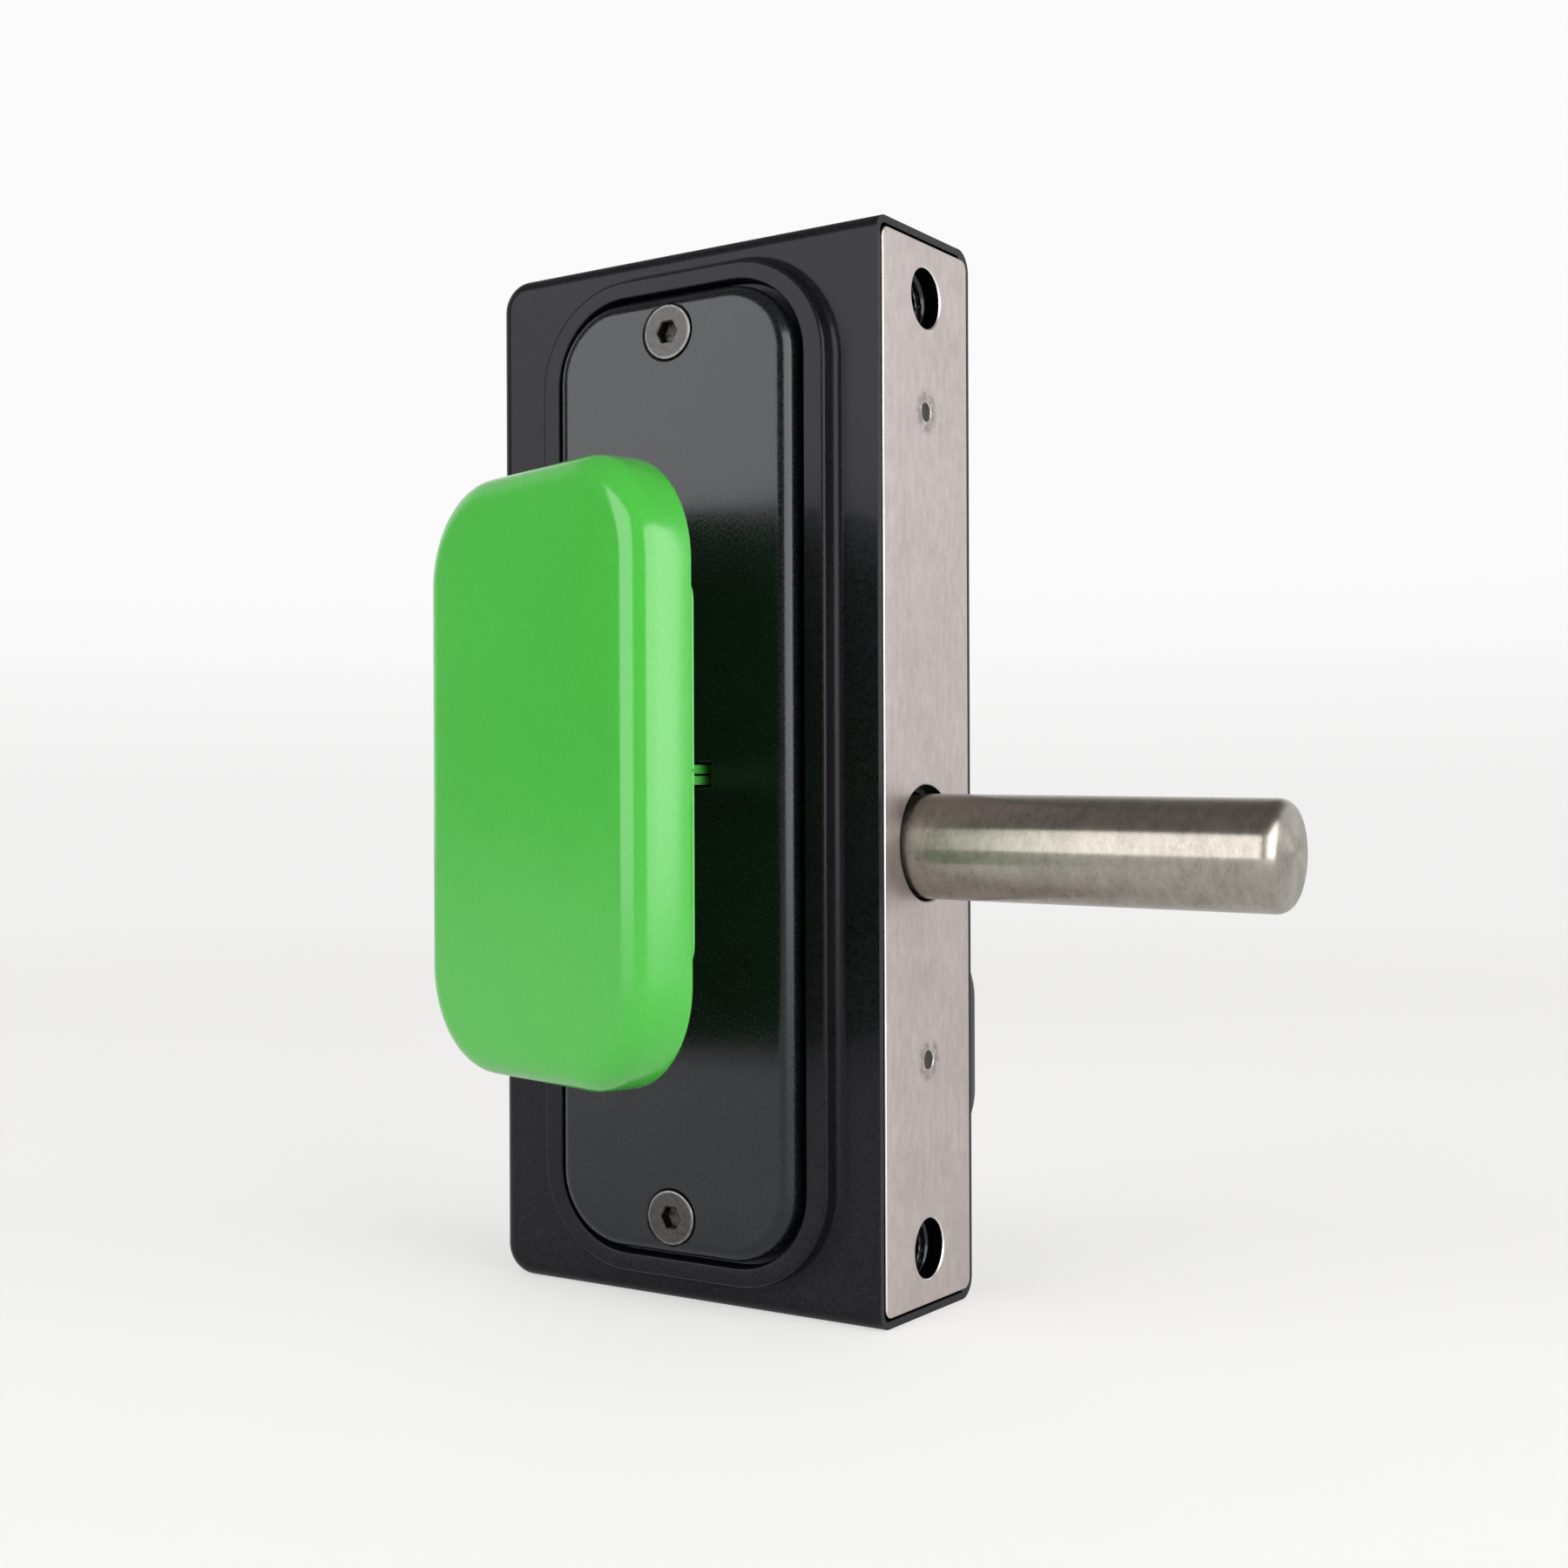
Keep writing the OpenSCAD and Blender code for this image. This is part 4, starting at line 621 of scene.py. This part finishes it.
# Skirt, bent edge and face. The face is split by two level lines into a field round each screw
# sink and one round the slot, and each field is ruled from its outline to its hole. The sinks
# reach into the bent edge, so its points stand clear of their mouths.
def buildInnerCover():
    s = coverSize
    mouthR = s["sink"] + s["mouth"]
    hw, hh = s["width"] / 2 - s["edge"], s["height"] / 2 - s["edge"]
    r = s["corner"] - s["edge"]
    split = s["split"]
    upper = split + (hh - r - split) * np.linspace(0, 1, 10)[1:-1]
    middle = np.linspace(-split, split, 15)
    levels = np.concatenate([-upper[::-1], middle, upper])
    ends = np.linspace(-1, 1, 9)[1:-1] * (hw - r)
    centre = (s["x"], 0.0)

    def outline(inset):
        return roundedLoop(s, inset, 14, levels, ends, centre)

    loops, depths = [outline(0.0)], [s["footY"]]
    for cosPart, sinPart in quarterRound(15):
        loops.append(outline(s["edge"] * cosPart))
        depths.append(s["faceY"] + s["edge"] * sinPart)
    press = loopsToPatch(loops, depths)
    for row, loop in enumerate(loops[1:], 1):
        free = clearOf(clearOf(loop, (s["x"], s["screwZ"]), mouthR), (s["x"], -s["screwZ"]), mouthR)
        moved = np.abs(free - loop).max(axis=1) > 1e-9
        press[row, :, 0], press[row, :, 2] = free[:, 0], free[:, 1]
        press[row, :, 1] = np.where(moved, coverDepth(free), press[row, :, 1])
        loops[row] = free
    patches = [press]

    ring = loops[-1][:-1]
    lineX = s["x"] + np.linspace(-hw, hw, 15)
    y = s["faceY"]
    for side in (1, -1):  # fields round the two sinks
        line = np.stack([lineX[1:-1], np.full(len(lineX) - 2, side * split)], axis=1)
        hole = (s["x"], side * s["screwZ"])
        field = convexField(ring[side * ring[:, 1] >= split - 1e-6], line, hole)
        mouth = circleFacing(field, hole, mouthR)
        shank = circleFacing(field, hole, s["shank"])
        sinkLoops = [field, mouth, circleFacing(field, hole, s["sink"]), shank, shank]
        sinkDepths = [y, y, y, y + s["sinkDepth"], y + s["sinkDepth"] + s["sinkWall"]]
        sunk = loopsToPatch(sinkLoops, sinkDepths)
        sunk[0, :, 1] = coverDepth(field)
        sunk[1, :, 1] = coverDepth(mouth)
        sunk[2, :, 1] = coverDepth(mouth) + s["mouthDrop"]
        patches.append(sunk)

    x0, x1, z0, z1 = s["slot"]
    edge = s["slotEdge"]

    def frameLoop(xs, zs):
        return np.concatenate([
            np.stack([xs, np.full(xs.shape, zs[0])], axis=1)[:-1],
            np.stack([np.full(zs.shape, xs[-1]), zs], axis=1)[:-1],
            np.stack([xs[::-1], np.full(xs.shape, zs[-1])], axis=1)[:-1],
            np.stack([np.full(zs.shape, xs[0]), zs[::-1]], axis=1)])

    def slotLoop(grow):
        return frameLoop(np.linspace(x0 - grow, x1 + grow, len(lineX)),
                         np.linspace(z0 - grow, z1 + grow, len(middle)))

    patches.append(loopsToPatch([frameLoop(lineX, middle), slotLoop(edge), slotLoop(0.0)], [y, y, y + edge]))
    piece = weldPatches("coverPress", patches, 24.0, outwardFrom=(s["x"], 0.0, 0.0))
    sheetWall(piece, s["wall"], s["wallRound"], False)
    finishPiece(piece, "case", "coverPaint", "cover_paint", "inner_cover")


buildInnerCover()
print("case pieces made")


# Faceplate and its rivets

plateSize = {"back": -3.0, "width": 30.54, "height": 181.2, "corner": 1.8, "edge": 0.22,
             "holes": ((81.25, 5.2), (61.8, 1.53), (-11.9, 10.0), (-49.0, 1.53), (-81.25, 5.2)),
             "splits": (71.0, 30.0, -34.0, -65.0), "fan": 66, "clear": 0.4}


# The plate is cut by level lines into one field round each hole. A field is ruled from its outline
# to its hole, a broken edge of 45 degrees leads into the hole's wall, and the back repeats it.
def buildFaceplate():
    s = plateSize
    hw = s["width"] / 2
    bounds = [s["height"]] + list(s["splits"]) + [-s["height"]]
    levels = [np.array(s["splits"])]
    for (z, _), top, low in zip(s["holes"], bounds[:-1], bounds[1:]):
        spread = z + hw * np.tan(np.radians(np.linspace(-s["fan"], s["fan"], 23)))
        limit = s["height"] / 2 - s["corner"]
        highest, lowest = min(top, limit) - s["clear"], max(low, -limit) + s["clear"]
        levels.append(spread[(spread < highest) & (spread > lowest)])
    levels = np.sort(np.concatenate(levels))
    ends = np.linspace(-1, 1, 13)[1:-1] * (hw - s["corner"]) * 0.96

    def outline(inset):
        return roundedLoop(s, inset, 8, levels, ends)

    patches = []
    edge = s["edge"]
    sideLoops, sideDepths = [outline(0.0)], [s["back"]]
    for cosPart, sinPart in quarterRound(5):
        sideLoops.append(outline(edge * cosPart))
        sideDepths.append(-edge * sinPart)
    patches.append(loopsToPatch(sideLoops, sideDepths, "side"))
    for inset, x in ((edge, 0.0), (0.0, s["back"])):
        ring = outline(inset)[:-1]
        lineY = np.linspace(-1, 1, 15)[1:-1] * (hw - inset)
        for (z, r), top, low in zip(s["holes"], bounds[:-1], bounds[1:]):
            lines = [np.stack([lineY, np.full(lineY.shape, split)], axis=1)
                     for split in (top, low) if abs(split) < s["height"] / 2]
            inside = ring[(ring[:, 1] <= top + 1e-6) & (ring[:, 1] >= low - 1e-6)]
            field = convexField(inside, np.concatenate(lines), (0.0, z))
            hole = circleFacing(field, (0.0, z), r)
            if x == 0.0:
                mouth = circleFacing(field, (0.0, z), r + edge)
                patches.append(loopsToPatch([field, mouth, hole, hole], [x, x, x - edge, s["back"]], "side"))
            else:
                patches.append(loopsToPatch([field, hole], [x, x], "side"))
    piece = weldPatches("plateSheet", patches, 30.0)
    finishPiece(piece, "case", "plateSteel", "stainless", "faceplate")


rivetSize = {"zs": (61.8, -49.0), "r": 1.5, "sunk": 0.02, "dish": 0.16, "lip": 0.112, "lipRound": 0.1,
             "tail": -5.0, "headR": 2.6, "headX": -6.2, "headEdge": 0.15, "headRound": (0.4, 0.5)}


# Each rivet is a turned profile: a dished end in the plate's hole, and a head behind the chassis
def buildRivets():
    s = rivetSize
    share = np.linspace(0, 1, 9)
    end = np.stack([-s["sunk"] - s["dish"] * (1 - share ** 4), share * (s["r"] - s["lip"])], axis=1)
    bend = s["lipRound"]
    lip = arc(-bend - s["sunk"], s["r"] - bend, bend, 0, 90, 4)
    edge, (roundX, roundR) = s["headEdge"], s["headRound"]
    head = np.array([[s["tail"], s["r"]], [s["tail"], s["headR"] - edge], [s["tail"] - edge, s["headR"]],
                     [s["headX"] + roundX, s["headR"]], [s["headX"], s["headR"] - roundR], [s["headX"], 0.0]])
    profile = np.concatenate([end, lip, head])
    patches = [turnedX(profile, (0.0, z), 64) for z in s["zs"]]
    piece = weldPatches("plateRivets", patches, 30.0)
    finishPiece(piece, "case", "rivetSteel", "stainless", "faceplate_rivets")


buildFaceplate()
buildRivets()


# Threaded sleeves

sleeveSize = {"zs": (81.25, -81.25), "front": -3.0, "length": 18.0, "outer": 8.0, "edge": 0.3, "core": 4.25,
              "depth": 0.72, "pitch": 1.5, "flank": 2.4, "crest": 0.7, "leadIn": 5.05}


# Inside thread: the wall's radius at depth x and angle a is the core plus the thread's depth times
# a trapezoid wave of (x / pitch + a / full turn), and a lead-in cone opens the mouth.
def buildSleeves():
    s = sleeveSize
    front, back, outerR, edge = s["front"], s["front"] - s["length"], s["outer"], s["edge"]
    x = s["front"] - np.linspace(0, s["length"], 217)[:, None]
    a = np.linspace(0, 2 * np.pi, 97)[None, :]
    phase = (x / s["pitch"] + a / (2 * np.pi)) % 1.0
    wave = np.clip(s["flank"] * (1 - np.abs(2 * phase - 1)) - s["crest"], 0.0, 1.0)
    radius = s["core"] + s["depth"] * wave
    radius = np.maximum(radius, s["leadIn"] - (s["front"] - x))
    tube = np.array([[front, outerR - edge], [front - edge, outerR],
                     [back + edge, outerR], [back, outerR - edge]])
    patches = []
    for z in s["zs"]:
        y = radius * np.cos(a)
        wall = np.stack([np.broadcast_to(x, y.shape), y, z + radius * np.sin(a)], axis=-1)
        outer = turnedX(tube, (0.0, z))
        patches += [wall, outer, np.stack([wall[0], outer[0]]), np.stack([outer[-1], wall[-1]])]
    piece = weldPatches("threadSleeves", patches, 25.0)
    finishPiece(piece, "case", "threadSteel", "black_steel", "fixing_sleeves")


buildSleeves()


# Screws

# Hexagon seen by angle: its side lies at the radius r cos 30 / cos(angle within the side - 30)
def hexLoop(angles, corner):
    within = np.mod(angles, np.pi / 3) - np.pi / 6
    radius = corner * math.cos(math.pi / 6) / np.cos(within)
    return np.stack([radius * np.cos(angles), radius * np.sin(angles)], axis=1)


screwForm = {"socketTip": 0.5, "mouthShare": 1.12, "mouthDepth": 0.18, "wornFrom": 0.5, "bendFrom": 0.3,
             "bendMiddle": (0.1, 0.05), "bendTo": 0.16, "coneFrom": 0.3, "tipEdge": 0.6}


# Countersunk socket screw along +y with its face at y = 0: loops from the socket's point out over
# the face, down the cone and along the shank to the broken edge of the tip
def socketScrew(headR, shankR, coreR, hexR, hexDepth, shankTo, tip, steps=96):
    f = screwForm
    angles = np.linspace(0, 2 * np.pi, steps + 1)
    circle = np.stack([np.cos(angles), np.sin(angles)], axis=1)
    socket, mouth = hexLoop(angles, hexR), hexLoop(angles, hexR * f["mouthShare"])
    bendIn, bendDepth = f["bendMiddle"]
    rows = [(0.0 * circle, hexDepth + f["socketTip"]), (socket, hexDepth), (socket, f["mouthDepth"]),
            (mouth, 0.0), (circle * (headR - f["wornFrom"]), 0.0), (circle * (headR - f["bendFrom"]), 0.0),
            (circle * (headR - bendIn), bendDepth), (circle * headR, f["bendTo"]),
            (circle * headR, f["coneFrom"]), (circle * shankR, headR - shankR + f["coneFrom"]),
            (circle * shankR, shankTo), (circle * coreR, shankTo), (circle * coreR, tip - f["tipEdge"]),
            (circle * (coreR - f["tipEdge"]), tip), (0.0 * circle, tip)]
    return loopsToPatch([loop for loop, depth in rows], [depth for loop, depth in rows])


# Puts a screw drawn along +y at its place, turned half round if its face looks to +y
def placedScrew(patch, place, flip):
    turned = patch * (-1, -1, 1) if flip else patch
    return turned + np.array(place)


screwSets = {
    "coverSocketScrews": {"node": "cover_screws", "body": "case", "slot": "screw_steel",
                          "shape": (4.7, 2.5, 2.1, 2.0, 2.3, 5.85, 11.75), "flip": False,
                          "places": [(-37.6, -23.6, 76.5), (-37.6, -23.6, -76.5)]},
    "rearSocketScrews": {"node": "rear_screws", "body": "case", "slot": "screw_steel",
                         "shape": (3.8, 2.0, 1.65, 1.45, 1.5, 4.0, 13.0), "flip": True,
                         "places": [(x, 16.75, z) for x in (-72.5, -27.5) for z in (85.0, -85.0)]},
}


# Wear of the heads' edges as a value of each point: it grows from 0 at "inside" within the edge to 1
# over "width". Points of the face are those at most "beyond" outside the head and "deep" from its level.
wearSize = {"inside": 0.45, "width": 0.2, "beyond": 0.05, "deep": 0.35}


def wearHeads(piece, places, headR):
    w = wearSize
    points = readAll(piece.data.vertices, "co", 3) / mm
    wear = np.zeros(len(points), dtype=np.float32)
    for x, y, z in places:
        radius = np.hypot(points[:, 0] - x, points[:, 2] - z)
        atHead = (radius < headR + w["beyond"]) & (np.abs(points[:, 1] - y) < w["deep"])
        wear = np.maximum(wear, atHead * np.clip((radius - headR + w["inside"]) / w["width"], 0, 1))
    layer = piece.data.attributes.new("wear", "FLOAT", "POINT")
    layer.data.foreach_set("value", wear.astype(np.float32))


def buildScrews():
    for name, s in screwSets.items():
        patches = [placedScrew(socketScrew(*s["shape"]), place, s["flip"]) for place in s["places"]]
        piece = weldPatches(name, patches, 30.0)
        wearHeads(piece, s["places"], s["shape"][0])
        finishPiece(piece, s["body"], "screwSteel", s["slot"], s["node"])


buildScrews()


# Bolt

boltSize = {"place": (-15.0, 0.0, -12.2), "droop": 1.1, "r": 9.0, "guidedR": 8.7, "freeFrom": 15.5,
            "freeStep": 0.1, "tail": -38.5, "tailEdge": 0.4, "tip": 77.7, "endR": 2.3, "crown": 0.45,
            "boreR": 4.2, "boreTo": -25.5, "groove": (-13.95, -12.45), "grooveR": 8.1, "flat": 5.4,
            "flatTo": -22.8, "notch": (-23.8, -18.2), "notchY": (-1.3, 2.7), "notchRoof": -4.5, "hair": 0.01}


# From the bolt's own frame to the part's: turned down by the droop about y, then put in its place
def drooped(x, y, z):
    place, droop = boltSize["place"], math.radians(boltSize["droop"])
    c, d = math.cos(droop), math.sin(droop)
    return np.stack([c * x + d * z + place[0], y + place[1], c * z - d * x + place[2]], axis=-1)


# Turned profile from the bottom of the spring hole round the tail, along the bar to the rounded
# end. The tail's flat and the lever's notch are the same surface pressed to their level, so their
# steps lie between two rows a hair apart.
def buildBolt():
    s = boltSize
    guided, tailEdge, hair = s["guidedR"], s["tailEdge"], s["hair"]
    notchFrom, notchTo = s["notch"]
    grooveFrom, grooveTo = s["groove"]
    front = s["tip"] - s["crown"]
    bar = np.linspace(s["freeFrom"] + s["freeStep"], front - s["endR"], 40)[:-1]
    share = np.linspace(1, 0, 12)[1:]
    steps = (notchFrom - hair, notchFrom, s["flatTo"], s["flatTo"] + hair, notchTo, notchTo + hair,
             grooveFrom)
    rows = np.concatenate([
        [[s["boreTo"], 0.0], [s["boreTo"], s["boreR"]], [s["tail"], s["boreR"]],
         [s["tail"], guided - tailEdge], [s["tail"] + tailEdge, guided]],
        [[x, guided] for x in steps],
        [[grooveFrom, s["grooveR"]], [grooveTo, s["grooveR"]], [grooveTo, guided], [s["freeFrom"], guided]],
        [[x, s["r"]] for x in bar],
        arc(front - s["endR"], s["r"] - s["endR"], s["endR"], 90, 8, 14),
        np.stack([front + s["crown"] * (1 - share ** 2), share * (s["r"] - s["endR"])], axis=1)])
    grid = turnedX(rows, (0.0, 0.0), 160)
    x, y, z = grid[..., 0], grid[..., 1], grid[..., 2]
    z = np.where((x <= s["flatTo"] + 1e-6) & (z > s["flat"]), s["flat"], z)
    inNotch = (x >= notchFrom - 1e-6) & (x <= notchTo + 1e-6)
    inNotch &= (y > s["notchY"][0]) & (y < s["notchY"][1])
    z = np.where(inNotch & (z < s["notchRoof"]), s["notchRoof"], z)
    piece = weldPatches("boltBar", [drooped(x, y, z)], 28.0)
    finishPiece(piece, "bolt", "boltSteel", "bolt_steel", "bolt")


buildBolt()


# Bolt spring

springSize = {"wire": 1.0, "coilR": 3.3, "turns": 12, "startX": -59.515, "endX": -25.6, "perTurn": 28,
              "sides": 10}


# Wire swept along a helix with the centre (x0 + (x1 - x0) t, R cos 2 pi n t, R sin 2 pi n t). Each
# end is closed by a disc.
def buildSpring():
    s = springSize
    t = np.linspace(0, 1, s["turns"] * s["perTurn"] + 1)[:, None]
    b = np.linspace(0, 2 * np.pi, s["sides"] + 1)[None, :]
    a = 2 * np.pi * s["turns"] * t
    half = s["wire"] / 2
    x = s["startX"] + half + (s["endX"] - s["startX"] - s["wire"]) * t + half * np.sin(b)
    radius = s["coilR"] + half * np.cos(b)
    grid = drooped(x, radius * np.cos(a), radius * np.sin(a))
    ends = [np.stack([row, np.broadcast_to(row.mean(0), row.shape)]) for row in (grid[0], grid[-1])]
    piece = weldPatches("springCoil", [grid] + ends, 60.0)
    finishPiece(piece, "case", "springSteel", "spring_steel", "bolt_spring")


buildSpring()
print("metal pieces made")


# Floor, lamps and camera

stageSize = {"floorZ": -92.5, "radius": 6000.0, "fadeFrom": 0.5, "fadeTo": 1.5, "lift": 0.52, "mirrored": 0.3,
             "floorColour": (0.90, 0.893, 0.875), "darker": 0.985, "rough": 0.7, "specular": 0.2,
             "near": (1.0, 0.995, 0.975), "far": (0.872, 0.87, 0.868)}


# 1 for rays from the camera, straight or through glass, and 0 for all others
def seenRay(tree, path):
    return mathNode(tree, "ADD", path["Is Camera Ray"], path["Is Transmission Ray"], clamp=True)


# Flat disc: rings at growing radii, point = radius * (cos a, sin a) at the floor's height
def buildFloor():
    s = stageSize
    radii = np.concatenate([[0.001], np.geomspace(40.0, s["radius"], 24)])
    a = np.linspace(0, 2 * np.pi, 97)
    grid = np.stack([radii[:, None] * np.cos(a), radii[:, None] * np.sin(a),
                     np.full((len(radii), len(a)), s["floorZ"])], axis=-1)
    floor = weldPatches("floor", [grid], 60.0, outwardFrom=(0.0, 0.0, -2000.0))
    material, tree, shader = startMaterial("floorPaper")
    place = objectPlace(tree)
    base = s["floorColour"]
    darker = [s["darker"] * c for c in base]
    tint = mixColours(tree, noiseNode(tree, place, 14.0, 2.0, 0.5), (*darker, 1.0), (*base, 1.0))
    feed(tree, shader, {"Roughness": s["rough"], "Specular IOR Level": s["specular"], "Base Color": tint})
    distance = newNode(tree, "VectorMath", {0: place}, operation="LENGTH").outputs["Value"]
    fade = smoothStep(tree, distance, s["fadeFrom"], s["fadeTo"])
    path = tree.nodes.new("ShaderNodeLightPath").outputs
    seen = seenRay(tree, path)
    seen = mathNode(tree, "MULTIPLY_ADD", path["Is Glossy Ray"], s["mirrored"], seen, clamp=True)
    lifted = mathNode(tree, "MULTIPLY_ADD", fade, 1.0 - s["lift"], s["lift"])
    share = mathNode(tree, "MULTIPLY", lifted, seen)
    glow = newNode(tree, "Emission", {"Color": mixColours(tree, fade, (*s["near"], 1.0), (*s["far"], 1.0))})
    blend = newNode(tree, "MixShader", {0: share, 1: shader.outputs[0], 2: glow.outputs[0]})
    feed(tree, nodeOf(tree, "OUTPUT_MATERIAL"), {"Surface": blend.outputs[0]})
    floor.data.materials.append(material)


worldLook = {"seen": (0.965, 0.963, 0.963, 1.0), "low": (0.872, 0.87, 0.868, 1.0), "lowAt": -0.01,
             "seenFrom": 0.11, "fill": (0.49, 0.49, 0.50, 1.0), "ceiling": (0.20, 0.19, 0.18, 1.0),
             "room": (0.16, 0.155, 0.15, 1.0), "horizonTo": 0.35, "ceilingFrom": 0.75,
             "roomTo": -0.25, "backdropFrom": 0.2}


# White where the camera looks, a little darker at the horizon. In reflections it is white at the
# backdrop, dim overhead as a ceiling is and dim on the camera's side. Elsewhere it is a plain fill.
def buildWorld():
    s = worldLook
    world = bpy.data.worlds.new("studio")
    world.use_nodes = True
    tree = world.node_tree
    tree.nodes.clear()
    place = tree.nodes.new("ShaderNodeTexCoord").outputs["Generated"]
    split = newNode(tree, "SeparateXYZ", {0: place}).outputs
    rise = smoothStep(tree, split["Z"], s["horizonTo"], s["ceilingFrom"])
    behind = smoothStep(tree, split["Y"], s["roomTo"], s["backdropFrom"])
    around = mixColours(tree, behind, s["room"], s["seen"])
    mirrored = mixColours(tree, rise, around, s["ceiling"])
    path = tree.nodes.new("ShaderNodeLightPath").outputs
    gloss = mixColours(tree, path["Is Glossy Ray"], s["fill"], mirrored)
    height = smoothStep(tree, split["Z"], s["lowAt"], s["seenFrom"])
    wall = mixColours(tree, height, s["low"], s["seen"])
    light = newNode(tree, "Background", {"Color": mixColours(tree, seenRay(tree, path), gloss, wall)})
    newNode(tree, "OutputWorld", {"Surface": light.outputs[0]})
    scene.world = world


# Places and sizes in metres, power in watts
lamps = {
    "frontWindow": {"place": (-0.662, -1.357, 0.36), "target": (0.0, 0.0, 0.36), "width": 1.4, "height": 1.75,
                    "power": 25.0},
    "rightPanel": {"place": (1.369, -0.291, 0.25), "target": (0.0, 0.0, 0.0), "width": 1.8, "height": 1.5,
                   "power": 34.0},
}


def buildLamps():
    for name, s in lamps.items():
        data = bpy.data.lights.new(name, "AREA")
        data.shape = "RECTANGLE"
        data.size, data.size_y, data.energy = s["width"], s["height"], s["power"]
        lamp = bpy.data.objects.new(name, data)
        lamp.location = s["place"]
        direction = np.array(s["target"]) - np.array(s["place"])
        lamp.rotation_mode = "QUATERNION"
        lamp.rotation_quaternion = Vector(direction).to_track_quat("-Z", "Y")
        scene.collection.objects.link(lamp)


cameraPlace = {"lens": 48.367, "sensor": 36.0, "shiftX": 0.12453, "shiftY": 0.01804, "clip": (0.01, 50.0),
               "place": (0.16751, -0.32429, -0.00644), "yaw": 36.467, "roll": -0.227}


def buildCamera():
    c = cameraPlace
    data = bpy.data.cameras.new("photoCamera")
    data.lens, data.sensor_width = c["lens"], c["sensor"]
    data.shift_x, data.shift_y = c["shiftX"], c["shiftY"]
    data.clip_start, data.clip_end = c["clip"]
    camera = bpy.data.objects.new("photoCamera", data)
    yaw, roll = math.radians(c["yaw"]), math.radians(c["roll"])
    right = np.array([math.cos(yaw), math.sin(yaw), 0.0])
    forward = np.array([-math.sin(yaw), math.cos(yaw), 0.0])
    up = np.array([0.0, 0.0, 1.0])
    rolledRight = math.cos(roll) * right + math.sin(roll) * up
    rolledUp = -math.sin(roll) * right + math.cos(roll) * up
    turn = Matrix(np.stack([rolledRight, rolledUp, -forward], axis=1).tolist())
    camera.matrix_world = Matrix.Translation(c["place"]) @ turn.to_4x4()
    scene.collection.objects.link(camera)
    scene.camera = camera


buildFloor()
buildWorld()
buildLamps()
buildCamera()
scene.view_settings.view_transform = "Standard"
print("stage set")
